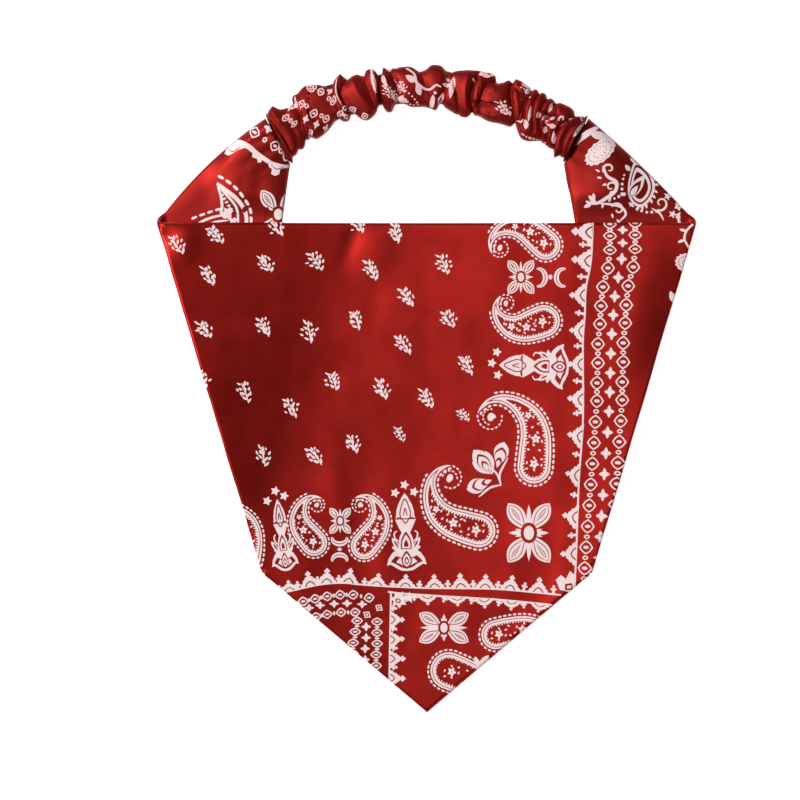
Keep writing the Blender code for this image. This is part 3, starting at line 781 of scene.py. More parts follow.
def paisley(ink, bulb, hook, size, mirrored, flowers=3, fine=1.0):
    """A paisley from the middle of its bulb to the middle of its hook. size is its bulb's radius.
    Seen from the bulb towards the hook it bows to the right, or to the left when mirrored."""
    bulb, hook = np.asarray(bulb, float), np.asarray(hook, float)
    way = hook - bulb
    stretch = np.hypot(*way) / (np.hypot(*CURL) * size)
    drawn = CURL * ((-1 if mirrored else 1), -1)
    angle = math.atan2(way[1], way[0]) - math.atan2(drawn[1], drawn[0])
    spine = PAISLEY_SPINE.copy()
    spine[:, :2] *= size * stretch
    spine[:, 2] *= size
    spine = curve(spine, 1.5)
    line, width = spine[:, :2], spine[:, 2]
    across = sides(line)

    def place(points):
        points = np.asarray(points, float).reshape(-1, 2) * ((-1 if mirrored else 1), -1)
        return bulb + turned(points, angle)

    def outline(extra):
        kept = width + extra > 0.15
        half = (width + extra)[kept][:, None] * across[kept]
        cap_angle = np.linspace(0, math.pi, max(8, int(size * 0.9)))[1:-1]
        start_left, centre = half[0], line[0]
        cap = [centre + turned(start_left, a) for a in cap_angle]
        return np.vstack(((line[kept] + half)[::-1], cap, line[kept] - half))

    thick = 1.95 * fine
    ink.ink(place(outline(0.0)))
    ink.bare(place(outline(-thick)))
    ink.ink(place(outline(-thick - 0.75 * fine)))
    field = outline(-2 * thick - 1.1 * fine)
    ink.bare(place(field))
    inner = outline(-2 * thick - 2.6 * fine)
    inner = spaced(inner, 3.1 * fine)
    outer = spaced(field, 3.1 * fine)
    count = min(len(inner), len(outer))
    for k in range(3, count - 3):
        target = inner[np.argmin(np.hypot(*(inner - outer[k]).T))]
        reach = target - outer[k]
        length = np.hypot(*reach)
        if length < 0.5:
            continue
        side = np.array((-reach[1], reach[0])) / length * 1.15 * fine
        root = outer[k] - reach / length * 0.7
        point = outer[k] + reach / length * (2.3 if k % 2 else 1.6) * fine
        ink.ink(place((root + side, point + side * 0.35, point - side * 0.35, root - side)))
    room = width - 2 * thick - 2.2 * fine
    along = np.r_[0.0, np.cumsum(np.hypot(*np.diff(line, axis=0).T))]
    for share in (0.02, 0.24, 0.45)[:flowers]:
        k = int(np.searchsorted(along, share * along[-1]))
        if room[k] > 1.2:
            centre = place(line[k])[0]
            petal = min(room[k] * 0.74, 5.0 * fine)
            blossom(ink, centre, petal, share * 9, 5)
            for turn in np.arange(6) * math.pi / 3 + share * 20:
                spot = centre + np.array((math.cos(turn), math.sin(turn))) * (petal + 2.3)
                if room[k] > 5.0:
                    ink.ink(leaf(spot, turn + 0.8, 3.6 * fine, 1.9 * fine, 0.8, 3))
    for share, off in ((0.13, 0.4), (0.14, -0.42), (0.34, 0.3), (0.35, -0.35), (0.56, 0.0)):
        k = int(np.searchsorted(along, share * along[-1]))
        if room[k] > 2.0:
            root = place(line[k] + across[k] * room[k] * off * 1.4)[0]
            ink.ink(leaf(root, share * 20, 3.4 * fine, 2.0 * fine, 0.8, 3))

    rail = outline(2.5 * fine)
    rail = rail[: len(rail) - int(len(rail) * 0.10)]
    ink.ink(*dashes(curve(place(rail), 2.0), 4.1 * fine, 1.5 * fine, 2.2 * fine))
    curl = CURL * size * stretch
    reach = 0.70 * size * stretch
    angles = np.radians(np.linspace(165, 372, 18))
    shrinking = np.linspace(1.05, 0.86, 18)[:, None]
    around = curl + np.column_stack((np.cos(angles), np.sin(angles))) * shrinking * reach
    ink.ink(*dashes(place(around), 3.0 * fine, 1.4 * fine, 1.8 * fine))
    angles = np.radians(np.linspace(70, 262, 12))
    around = curl + np.column_stack((np.cos(angles), np.sin(angles))) * 0.62 * reach
    ink.ink(*dashes(place(around), 2.6 * fine, 1.2 * fine, 1.6 * fine))
    tail = curl + np.array(((-0.10, -0.12), (0.04, 0.14), (0.26, 0.12), (0.36, -0.10))) * reach
    ink.ink(ellipse(place(curl)[0], 0.27 * reach, 0.34 * reach, 0.3))
    ink.ink(stroke(place(tail), 2.2 * fine, 0.5, 1.0))


def petal_flower(ink, centre, across, down, tilt=0.0, fine=1.0, spikes=True):
    """The four-petalled flower, with an oval heart. across and down are its half sizes."""
    centre = np.asarray(centre, float)
    length = math.hypot(across, down)
    if spikes:
        for k in range(4):
            reach = (down if k % 2 else across) * 0.95
            ink.ink(leaf(centre, k * math.pi / 2 + tilt, reach, length * 0.13, 1.0, 4))
            for lean in (-0.28, 0.28):
                ink.ink(leaf(centre, k * math.pi / 2 + tilt + lean, reach * 0.72, length * 0.07, 1.2, 3))
    rim = max(1.7 * fine, 0.075 * length)
    insets = (0.0, rim, rim + 0.9 * fine, 2.6 * rim, 2.6 * rim + 0.9)
    for inset, paint in zip(insets, (ink.ink, ink.bare, ink.ink, ink.bare, ink.ink)):
        for sx, sy in ((1, 1), (-1, 1), (-1, -1), (1, -1)):
            angle = math.atan2(sy * down, sx * across)
            root = centre + turned((0.05 * length + inset * 1.7, 0.0), -angle - tilt)
            long, wide = 0.94 * length - inset * 2.5, 0.46 * length - inset * 1.9
            if wide > 0.8:
                paint(leaf(root, angle + tilt, long, wide, 1.3, 11))
    heart = min(across, down)
    ink.bare(ellipse(centre, 0.40 * heart, 0.50 * heart, tilt, 16))
    ink.ink(ellipse(centre, 0.25 * heart, 0.34 * heart, tilt, 14))


def rosette(ink, centre, across, down, tilt):
    """A round blossom with a scalloped edge and rings of bare dots."""
    angle = np.linspace(0, 2 * math.pi, 66, endpoint=False)
    reach = 1 + 0.055 * np.sin(angle * 15)
    edge = np.column_stack((across * reach * np.cos(angle), down * reach * np.sin(angle)))
    ink.ink(np.asarray(centre) + turned(edge, tilt))
    for ring, count in ((0.74, 22), (0.42, 11)):
        for a in np.arange(count) * 2 * math.pi / count:
            spot = turned(((across * ring * math.cos(a), down * ring * math.sin(a)),), tilt)[0]
            ink.bare(ellipse(np.asarray(centre) + spot, 0.75, 0.6, count=5))


def crescent(ink, centre, across, down, angle):
    """A crescent that opens towards angle, with a bare line along it. across and down are half sizes."""
    angles = np.linspace(angle + 1.35, angle + 2 * math.pi - 1.35, 15)
    line = np.asarray(centre) + np.column_stack((across * np.cos(angles), -down * np.sin(angles)))
    share = np.linspace(0, 1, len(line))
    thick = np.sin(math.pi * (0.12 + 0.76 * share))
    ink.ink(ribbon(line, 5.0 * thick))
    ink.bare(ribbon(line, 1.1 * thick - 0.2))


def diamond(ink, centre, half_width, half_height, tilt=0.0):
    """One link of the chains: a ring of four soft corners round an oval."""
    angle = np.arange(16) * math.pi / 8
    ca, sa = np.cos(angle), np.sin(angle)
    reach = np.tile((1.0, 0.86, 0.85, 0.86), 4)
    shape = np.column_stack((reach * ca * half_width, reach * sa * half_height))
    small = shape * ((half_width - 1.6) / half_width, (half_height - 1.6) / half_height)
    ink.ink(np.asarray(centre) + turned(shape, tilt))
    ink.bare(np.asarray(centre) + turned(small, tilt))
    ink.ink(ellipse(centre, half_width * 0.42, half_height * 0.24, tilt, 8))


def bead(ink, centre, half_width=3.3, half_height=2.4, tilt=0.0):
    ink.ink(ellipse(centre, half_width, half_height, tilt, 10))
    ink.bare(ellipse(centre, half_width - 1.4, half_height - 1.3, tilt, 7))


def cross_star(ink, centre, half_width, half_height, tilt=0.0):
    angle = np.arange(16) * math.pi / 8
    reach = np.tile((1.0, 0.70, 0.47, 0.70), 4)
    shape = np.column_stack((np.cos(angle) * reach * half_width, np.sin(angle) * reach * half_height))
    ink.ink(np.asarray(centre) + turned(shape, tilt))


def sprig(ink, centre, seed, size=1.0):
    """A ragged little spray that leans to the upper left: short leaves close along a stem, most of
    them round its middle."""
    draw = np.random.default_rng(seed)
    angle = draw.uniform(1.75, 2.30)
    length = draw.uniform(18.0, 22.0)
    centre = np.asarray(centre, float)

    def step(start, way, far):
        return start + np.array((math.cos(way), -math.sin(way))) * far * size

    foot = step(centre, angle, -length / 2)
    bend = step(centre, angle + math.pi / 2, draw.uniform(-1.4, 1.4))
    ink.ink(stroke([foot, bend, step(foot, angle, length)], 1.4 * size, 0.4, 3.0))
    count = 8
    for k in range(count):
        share = (k + 0.3) / count
        side = 1 if k % 2 else -1
        breadth = 0.35 + 0.65 * math.sin(math.pi * share) ** 0.7
        across = angle + side * math.pi / 2
        root = step(step(foot, angle, length * share), across, draw.uniform(0.4, 1.6) * breadth)
        lean = angle + side * draw.uniform(0.15, 0.95)
        ink.ink(leaf(root, lean, draw.uniform(4.6, 6.8) * size, draw.uniform(2.0, 3.0) * size, 0.8, 3))
        if 1 < k < count - 1:
            spot = step(root, across, draw.uniform(3.0, 5.0) * breadth)
            lean = lean + draw.uniform(-0.7, 0.7)
            ink.ink(leaf(spot, lean, draw.uniform(3.4, 5.2) * size, draw.uniform(1.8, 2.6) * size, 0.8, 3))


# Half outlines of the finial's parts, as shares of its foot's reach and of its height
FINIAL_SPEAR = ((0.0, 1.00), (0.16, 0.94), (0.34, 0.85), (0.44, 0.76), (0.46, 0.69), (0.50, 0.665))
FINIAL_COLLAR = ((0.52, 0.65), (0.44, 0.60), (0.32, 0.53), (0.22, 0.48))
FINIAL_BULB = ((0.0, 0.56), (0.16, 0.50), (0.32, 0.42), (0.38, 0.33), (0.36, 0.24), (0.46, 0.18))
FINIAL_FOOT = (
    (0.30, 0.22), (0.52, 0.25), (0.72, 0.21), (0.90, 0.14), (1.00, 0.05), (0.80, 0.06), (0.56, 0.02),
    (0.30, -0.02), (0.0, -0.03),
)
FINIAL_FOOT_INSIDE = (
    (0.30, 0.15), (0.52, 0.175), (0.70, 0.13), (0.80, 0.095), (0.54, 0.065), (0.28, 0.02), (0.0, 0.0),
)
# Lines on the spear and the stalk beside the bulb, with their widths and how they thin
FINIAL_LINES = (
    (((-0.50, 0.655), (-0.24, 0.675), (0.0, 0.60), (0.24, 0.675), (0.50, 0.655)), 1.2, 0.1),
    (((-0.24, 0.68), (-0.25, 0.76), (0.0, 0.92), (0.25, 0.76), (0.24, 0.68)), 1.2, 0.1),
    (((-0.09, 0.70), (0.0, 0.80), (0.09, 0.70)), 1.1, 0.2),
)
FINIAL_STALK = ((0.34, 0.36), (0.54, 0.40), (0.58, 0.47), (0.44, 0.50))
FINIAL_SHELF = ((0.16, 0.20), (0.44, 0.30), (0.72, 0.29), (0.60, 0.25), (0.34, 0.22))


def finial(ink, base, tip, wing, fine=1.0):
    """A tall pointed ornament on an open foot, from its base to its tip. wing is how far its foot
    reaches to each side."""
    base, tip = np.asarray(base, float), np.asarray(tip, float)
    up = tip - base
    height = np.hypot(*up)
    up = up / height
    right = np.array((-up[1], up[0]))
    angle = math.atan2(-up[1], up[0])

    def at(across, along):
        return base + right * across * wing + up * along * height

    def whole(half, middle=(0.0, 0.0), share=1.0):
        outline = list(half) + [(-a, b) for a, b in half[::-1] if a > 0]
        return np.array([at(a * share, middle[1] + (b - middle[1]) * share) for a, b in outline])

    ink.ink(whole(FINIAL_FOOT))
    ink.bare(whole(FINIAL_FOOT_INSIDE))
    ink.ink(whole(FINIAL_FOOT_INSIDE, (0.0, 0.08), 0.66))
    for side in (-1, 1):
        ink.ink(curve([at(side * a, b) for a, b in FINIAL_SHELF], 1.6, True))
        root, lean = at(side * 0.34, 0.24), angle - side * 0.50
        ink.ink(leaf(root, lean, height * 0.20, 4.6 * fine, 1.2, 7))
        root = root + up * 2.4 + right * side * 0.9
        ink.bare(leaf(root, lean, height * 0.12, 1.8 * fine, 1.2, 5))
        ink.ink(stroke([at(side * a, b) for a, b in FINIAL_STALK], 1.5 * fine, 0.3, 1.0))
    ink.ink(whole(FINIAL_COLLAR))
    ink.ink(whole(FINIAL_BULB))
    ink.nest(lambda share: whole(FINIAL_BULB[:-1], (0.0, 0.31), share), (0.74, 0.56, 0.30), False)
    ink.ink(whole(FINIAL_SPEAR))
    for points, width, taper in FINIAL_LINES:
        ink.bare(stroke([at(*point) for point in points], width * fine, taper))

    def drop(share):
        root = at(0, 0.10 * (1 - share))
        return leaf(root, angle, height * 0.24 * share, wing * 0.52 * share, 0.85, 8)

    ink.nest(drop, (1.0, 0.74, 0.44, 0.24), False)


# A border's tower, from its foot to its tip, and the arch in it
TOWER = ((1.0, 0.0), (0.92, 0.20), (0.70, 0.27), (0.66, 0.42), (0.47, 0.48), (0.36, 0.60), (0.13, 0.66))
ARCH = ((-1, 0), (-0.62, 0.6), (0, 1), (0.62, 0.6), (1, 0))


def crown(ink, base_line, towers, posts, half):
    """A border: a line with stepped towers and small posts, which are given by their tops. half is
    half a tower's width."""
    base = curve(base_line, 4.0)
    ink.ink(ribbon(base, 1.8))

    def frame_at(tip):
        tip = np.asarray(tip, float)
        near = base[np.argmin(np.hypot(*(base - tip).T))]
        up = tip - near
        height = max(np.hypot(*up), 1e-6)
        return near, up / height, np.array((-up[1], up[0])) / height, height

    for tip in towers:
        near, up, right, height = frame_at(tip)
        outline = [near + right * a * half + up * b * height for a, b in TOWER]
        ink.ink(outline + [near - right * a * half + up * b * height for a, b in TOWER[::-1]])
        d = 0.21 * height
        head = near + up * (height - d)
        ink.ink((head + up * d, head + right * d * 0.95, head - up * d, head - right * d * 0.95))
        for share, paint in ((1.0, ink.bare), (0.74, ink.ink)):
            wide, tall = half * 0.56 * share, height * 0.34 * share
            paint([near + right * a * wide + up * (b * tall + 0.4) for a, b in ARCH])
    for head in posts:
        near, up, right, height = frame_at(head)
        height = max(height * 0.72, 5.0)
        top = near + up * height
        ink.ink((near + right * 1.6, top + right * 0.7, top - right * 0.7, near - right * 1.6))
        ink.ink(ellipse(top, 1.5, count=7))
        for side in (1, -1):
            ink.ink(ellipse(top - up * 2.6 + right * 1.9 * side, 1.3, count=6))


def dotted(ink, points, count, radius, radius_end=None):
    line = curve(points, 1.0)
    pick = np.linspace(0, len(line) - 1, count).astype(int)
    for k, index in enumerate(pick):
        size = mix(radius, radius_end or radius, k / max(1, count - 1))
        ink.ink(ellipse(line[index], size, count=7))


def scroll(ink, centre, radius, start, turns, width, clockwise=True):
    angle = np.linspace(0, turns * 2 * math.pi, int(10 + turns * 14))
    reach = radius * (1 - 0.80 * angle / angle[-1])
    way = 1 if clockwise else -1
    angle = start + way * angle
    line = np.asarray(centre) + np.column_stack((reach * np.cos(angle), reach * np.sin(angle)))
    share = np.linspace(0, 1, len(line))
    ink.ink(ribbon(line, width * (1 - 0.5 * share)))


SPRIGS = (
    (178, 246), (216, 236), (277, 228), (358, 225), (396, 234), (209, 277), (266, 265), (316, 262),
    (372, 271), (444, 265), (407, 298), (205, 331), (264, 328), (309, 333), (356, 321), (404, 346),
    (449, 320), (203, 380), (245, 393), (291, 409), (333, 382), (382, 390), (427, 399), (467, 366),
    (464, 416), (263, 457), (315, 457), (353, 445), (400, 435),
)
OUTER_SPRIGS = (  # past the left fold, which turns them under
    (150, 290), (128, 250), (140, 340), (158, 400), (120, 300), (186, 440), (150, 450), (215, 500),
    (96, 270), (110, 350), (130, 410), (180, 500), (96, 230), (70, 300), (150, 520), (90, 400),
)

CROWDED = ((464, 416), (400, 435))  # close to a paisley, so smaller


def front_print():
    ink = Ink()
    for k, place in enumerate(SPRIGS + OUTER_SPRIGS):
        sprig(ink, place, 40 + k, 0.72 if place in CROWDED else 1.0)

    # right-hand column
    paisley(ink, (546, 245), (500, 248), 14.5, False, 3, 0.90)
    paisley(ink, (544, 321), (506, 303), 16.0, True, 3, 0.90)
    petal_flower(ink, (521, 277), 13.0, 17.0, 0.0)
    crescent(ink, (538.5, 277.5), 7.0, 8.8, math.pi)
    ink.ink(ellipse((550.5, 277), 2.0, 2.6, count=8))
    crescent(ink, (564, 277.5), 7.6, 8.8, 0.0)
    finial(ink, (567, 367), (499, 365), 23)
    for centre in ((492, 363), (497, 352), (498, 375)):
        ink.ink(star(centre, 5, 5.0, 2.7, 0.3))

    # corner
    paisley(ink, (534, 467), (491, 417), 16.5, False)
    paisley(ink, (479, 531), (450, 478), 16.5, True)
    petal_flower(ink, (529, 533), 21.0, 30.0, 0.0)
    bud = np.array((493.0, 474.0))
    for angle, length, width in ((2.25, 31, 17), (2.62, 24, 10), (1.88, 24, 10)):
        ink.ink(leaf(bud, angle, length, width, 1.2, 8))
    for share, paint in ((0.78, ink.bare), (0.66, ink.ink), (0.42, ink.bare), (0.30, ink.ink)):
        root = bud + (-3 * (1 - share) * 2, -5 * (1 - share))
        paint(leaf(root, 2.22, 30 * share, 16 * share, 1.2, 7))
    petals = (1.0, 0.80, 0.70, 0.42, 0.30)
    ink.nest(lambda share: leaf((497, 468), 1.30, 27 * share, 15 * share, 1.5, 8), petals)
    ink.nest(lambda share: leaf((492, 480), 3.52, 27 * share, 15 * share, 1.5, 8), petals)
    ink.ink(
        stroke([(501, 486), (500, 474), (508, 458)], 2.2), stroke([(501, 485), (490, 488), (479, 497)], 2.2),
    )
    ink.ink(stroke([(501, 485), (497, 474), (488, 466)], 2.0))

    # bottom row
    paisley(ink, (314, 543), (317, 505), 13.0, True, 3, 0.86)
    paisley(ink, (364, 546), (360, 505), 13.4, False, 3, 0.86)
    petal_flower(ink, (340, 521), 10.5, 13.0, 0.0)
    crescent(ink, (339.5, 538.5), 7.4, 5.6, math.pi / 2)
    ink.ink(ellipse((339.5, 549.5), 2.3, 1.7, count=8))
    crescent(ink, (339.5, 560.5), 7.4, 5.6, -math.pi / 2)
    paisley(ink, (247, 560), (215, 520), 14.0, False, 3, 0.86)
    finial(ink, (286, 569), (277, 499), 13.5)
    finial(ink, (407, 569), (404.5, 493), 20)
    for centre in ((267, 501), (275, 491), (284, 496), (395, 493), (404.5, 485), (414, 492)):
        ink.ink(star(centre, 5, 5.0, 2.7, 0.3))

    # crown borders
    crown(
        ink,
        (
            (262, 597), (286, 592), (318, 585), (342, 583), (364, 585), (419, 588), (492, 589), (530, 592),
            (561, 595),
        ),
        (
            (268, 584), (288, 580), (307, 571), (327, 568), (351, 568), (379, 573), (406, 574), (434, 574),
            (460, 573), (486, 574), (513, 575), (540, 577),
        ),
        (
            (278, 584), (297, 580), (317, 575), (339, 574), (365, 577), (393, 580), (420, 580), (448, 579),
            (473, 579), (499, 580), (526, 581), (554, 584),
        ),
        half=10.0,
    )
    crown(
        ink,
        (
            (594, 205), (593, 222), (591, 261), (586, 288), (585, 314), (583, 343), (583, 420), (579, 480),
            (576, 560), (574, 590),
        ),
        (
            (571, 231), (571, 259), (569, 295), (569, 330), (567, 364), (567, 398), (567, 434), (565, 473),
            (562, 515), (560, 554),
        ),
        (
            (576, 244), (575, 276), (573, 312), (572, 346), (571, 380), (571, 414), (571, 453), (569, 494),
            (566, 536),
        ),
        half=12.0,
    )
    ink.ink(((560, 590), (556, 580), (561, 575), (566, 579), (570, 571), (576, 576), (576, 594)))
    ink.bare(((565, 590), (565, 584), (572, 583), (573, 590)))
    ink.ink(((567, 588.5), (567, 586), (571, 585.3), (571.3, 588.5)))

    # chains down the right side
    links = [
        (610, 224), (610, 236), (610, 250), (608, 268), (603, 287), (601, 306), (600, 324),
        (598, 344), (598, 363), (597, 383), (597, 401),
    ]
    while links[-1][1] < 580:
        links.append((links[-1][0] - 1.55, links[-1][1] + 20.9))
    between = [((x0 + x1) / 2, (y0 + y1) / 2, y0 < 250) for (x0, y0), (x1, y1) in zip(links, links[1:])]
    for shift, rise in ((0.0, 0.0), (25.2, -1.0)):
        for k, (x, y) in enumerate(links):
            diamond(ink, (x + shift, y + rise), 7.0, 5.4 if k < 3 else 7.2, 0.05)
        for x, y, small in between:
            bead(ink, (x + shift, y + rise), 3.0, 1.9 if small else 2.3)
    for x, y, small in between:
        cross_star(ink, (x + 12.8, y), 5.6, 4.6 if small else 6.4, 0.05)

    # what the print has past the chains, at the right fold
    edge = curve([(692, 224), (686, 231), (684, 239), (688, 248)], 1.5)
    ink.ink(ribbon(edge, 2.0), leaf((686, 231), 2.9, 7, 3, 0.9, 4), leaf((684, 240), 3.5, 7, 3, 0.9, 4))
    rosette(ink, (686, 263), 11.0, 9.5, 0.3)
    ink.ink(
        leaf((674, 304), 1.9, 14, 6, 0.9, 6), leaf((676, 300), 0.9, 9, 4, 0.9, 4),
        ellipse((671, 309), 1.7, count=7),
    )

    # the next square of the print, below the border
    crown(
        ink,
        ((388, 592), (405, 594), (450, 597), (500, 600), (552, 605)),
        ((428, 606), (458, 607), (485, 609), (511, 611), (538, 613)),
        ((414, 601), (443, 603), (471, 605), (498, 607), (524, 609)),
        half=10.5,
    )
    crown(
        ink,
        ((391, 592), (390, 640), (389, 690)),
        ((405, 620), (405, 639), (406, 659), (406, 679)),
        ((398, 609), (398, 630), (399, 649), (399, 668)),
        half=8.0,
    )
    petal_flower(ink, (444, 628), 25.0, 14.5, 0.0)
    paisley(ink, (496, 635), (548, 668), 14.5, True, 2, 0.90)
    paisley(ink, (449, 671), (476, 738), 18.5, True, 2, 0.92)
    ink.ink(leaf((479, 668), 0.9, 16, 7, 1.0, 6), leaf((479, 668), 1.9, 12, 5, 1.0, 5))
    for links, half_width, half_height in (
        (((292, 605), (303, 601.5), (315, 599), (327, 596.5), (340, 595), (353, 595), (369, 598)), 5.6, 5.0),
        (((304, 620), (316, 617), (327, 614.5), (341, 612.5), (355, 612.5)), 5.4, 4.8),
    ):
        for x, y in links:
            diamond(ink, (x, y), half_width, half_height, -0.15)
        for (x0, y0), (x1, y1) in zip(links, links[1:]):
            ink.ink(ellipse(((x0 + x1) / 2, (y0 + y1) / 2), 1.3, 2.2, count=7))
    for x, y in ((297, 611.5), (309, 608), (320, 605.5), (334, 604), (347, 603.5), (362, 604.5)):
        cross_star(ink, (x, y), 5.2, 4.0)
    for x, y in ((367, 615), (379, 608)):
        ink.ink(ellipse((x, y), 4.6, 4.0, 0.6, 4))
        ink.bare(ellipse((x, y), 2.9, 2.4, 0.6, 4))
        ink.ink(ellipse((x, y), 1.2, count=6))
    for column, starts in (((377, 377, 377, 376, 376, 375), 622), ((357, 355, 353, 353, 352, 352), 621)):
        for k, x in enumerate(column):
            diamond(ink, (x, starts + 11 * k), 6.0, 4.4)
            ink.ink(ellipse((x, starts + 11 * k + 5.5), 2.6, 1.1, count=7))
    for x, y in ((366, 627), (366, 638), (365, 649), (365, 660), (365, 671)):
        cross_star(ink, (x, y), 5.0, 4.6)
    ink.ink(star((399, 600), 7, 9.0, 5.5, 0.4), star((409, 598), 5, 6.0, 3.0, 0.1))
    ink.bare(ellipse((398, 601), 3.0, 2.4, 0.5, 8))
    ink.ink(ellipse((398, 601), 1.6, 1.2, 0.5, 7))
    return [(to_metres(loop), paint) for loop, paint in ink.loops]


def wing_print(side):
    """The print on one wing's upper cloth, where it lies in the photo."""
    ink = Ink()
    if side == LEFT:
        petal_flower(ink, (278, 214), 17.0, 24.0, 0.0, 1.3, False)
        # the tip of a large paisley
        edge = curve([(217, 175), (226, 180), (236, 188), (244, 198), (250, 209), (251, 224)], 1.5)
        ink.ink(*dashes(edge, 6.6, 2.0, 3.2))
        for line, width in (
            (((217, 183), (226, 190), (236, 198), (243, 207), (246, 216), (246, 228)), 4.2),
            (((219, 186), (226, 194), (233, 202), (237, 210), (238, 224)), 2.6),
            (((218, 186), (221, 196), (222, 206), (221, 214), (226, 218)), 2.8),
        ):
            ink.ink(stroke(line, width, 0.3))
        for k in range(6):
            ink.ink(leaf((224 + 2.2 * k, 194 + 3.6 * k), -2.6 - 0.1 * k, 4.2, 2.4, 0.8, 3))
        ink.ink(star((228, 213), 7, 7.4, 4.4, 0.3), star((233, 220), 5, 5.4, 3.0, 0.1))
        ink.ink(*dashes(curve([(190, 219), (203, 214), (215, 210), (222, 208)], 1.5), 6.0, 2.0, 2.6))
        ink.ink(
            stroke([(194, 225), (209, 218), (226, 214)], 2.6),
            stroke([(203, 228), (214, 222), (228, 220)], 2.2),
        )
        # a stepped border near the band
        line = curve(
            [(226, 147), (236, 143), (247, 146), (256, 153), (266, 160), (276, 165), (288, 166), (299, 163)],
            2.0,
        )
        along = np.arange(len(line))
        ink.ink(ribbon(line, np.interp(along, (0, 0.35 * len(line), len(line)), (7.0, 5.0, 2.6))))
        ink.ink(((225, 147), (225, 154), (229, 156), (233, 154), (239, 150), (246, 148), (240, 142)))
        ink.ink(((253, 151), (252, 157), (257, 159), (258, 163), (262, 162), (261, 157), (266, 158)))
        ink.ink((
            (267, 160), (269, 167), (272, 169), (271, 174), (275, 176), (279, 174), (280, 169), (288, 166),
        ))
        ink.bare(
            stroke([(228, 150), (234, 152), (241, 147)], 0.9),
            stroke([(271, 165), (277, 169), (284, 166)], 0.9),
        )
        for centre, tilt in (((255, 133), 0.45), ((275, 146), 0.55), ((287, 156), 0.6)):
            diamond(ink, centre, 5.4, 6.0, tilt)
        for centre in ((265, 140), (281, 151)):
            bead(ink, centre, 2.4, 3.0, 0.5)
        for centre in ((269, 129), (283, 142), (291, 150)):
            cross_star(ink, centre, 5.0, 5.4, 0.5)
        for centre in ((205, 240), (182, 236), (160, 232)):
            sprig(ink, centre, int(centre[0]), 0.8)
    else:
        rosette(ink, (600, 152), 17.5, 9.6, -0.70)
        ink.ink(
            stroke([(573, 147), (580, 139), (590, 132), (600, 126)], 6.0, 0.8),
            leaf((590, 134), -0.2, 22, 8, 0.8, 6),
        )
        ink.ink(ellipse((607, 138), 3.4, 2.6), ellipse((612, 144), 2.6, 2.2))
        # a vine with curls
        vine = [(603, 166), (607, 176), (616, 182), (615, 191), (606, 198), (596, 203), (586, 201)]
        ink.ink(stroke(vine, 3.6, 0.5))
        scroll(ink, (609, 169), 6.2, 2.6, 0.9, 2.4)
        scroll(ink, (611, 187), 6.0, 0.2, 0.9, 2.2, False)
        scroll(ink, (618, 209), 7.0, 3.6, 0.9, 2.4)
        ink.ink(stroke([(600, 203), (612, 204), (622, 207), (626, 214), (620, 221)], 2.6))
        leaves = (
            (600, 172), (602, 178), (607, 184), (613, 191), (611, 197), (603, 203), (612, 213), (617, 219),
        )
        for k, place in enumerate(leaves):
            ink.ink(leaf(place, 2.6 + k * 0.4, 5.2, 2.4, 0.8, 3))
        ink.ink(
            leaf((596, 202), 2.4, 10, 5, 0.9, 4), leaf((592, 203), 3.6, 9, 4.4, 0.9, 4),
            leaf((594, 200), 1.6, 7, 3.6, 0.9, 4),
        )
        dotted(ink, [(610, 200), (617, 197), (624, 194)], 4, 1.0, 1.9)
        # a large curled leaf
        body = (
            (635, 161), (645, 166), (652, 175), (655, 187), (651, 199), (642, 207), (633, 203), (628, 193),
            (629, 178),
        )
        outline = curve(body, 1.6, True)
        middle = outline.mean(0) + (-2.0, 3.0)
        ink.nest(lambda share: middle + (outline - middle) * share, (1.0, 0.84, 0.74, 0.58))
        for share, paint in ((1.0, ink.ink), (0.72, ink.bare), (0.46, ink.ink)):
            root = (629 + 3 * (1 - share), 197 - 3 * (1 - share))
            paint(leaf(root, 0.95, 27 * share, 11 * share, 0.8, 7))
        for share in np.linspace(0.06, 0.62, 13):
            spot = outline[int(share * len(outline))]
            out = (spot - middle) / np.hypot(*(spot - middle))
            ink.ink(leaf(spot - out * 0.6, math.atan2(-out[1], out[0]) - 0.4, 5.0, 2.6, 0.8, 3))
        ink.ink(
            leaf((634, 163), 1.9, 9, 5, 0.9, 5), leaf((630, 171), 2.3, 8, 4.4, 0.9, 5),
            ellipse((636, 152), 1.7, count=7),
        )
        dotted(ink, [(624, 175), (622, 184), (622, 194)], 5, 1.1, 1.8)
        dotted(ink, [(630, 203), (638, 209), (648, 212), (657, 211)], 7, 1.3, 1.6)
        scroll(ink, (661, 203), 7.6, 2.0, 1.0, 2.4, False)
        ink.ink(stroke([(652, 208), (660, 213), (664, 220)], 2.0))
        for place in ((673, 214), (668, 196)):
            ink.ink(star(place, 5, 4.6, 2.0, 0.4))
        blossom(ink, (679, 206), 4.6, 0.2)
        for k in range(5):
            ink.ink(leaf((676 + 2.5 * k, 218 + 4 * k), 0.9 + 0.5 * k, 8, 3.2, 0.9, 3))
        scroll(ink, (686, 226), 5.0, 1.0, 1.0, 2.2)
    fold = FOLDS[side]
    return [(to_cut(fold, to_metres(loop), False), paint) for loop, paint in ink.loops]


def back_print():
    loops = wing_print(LEFT) + wing_print(RIGHT)
    ink = Ink()
    for row, y in enumerate(range(230, 700, 44), 1):
        for x in range(180 + 27 * (row % 2), 680, 54):
            sprig(ink, (x, y), 900 + x + y)
    return [(to_metres(loop), paint) for loop, paint in ink.loops] + loops


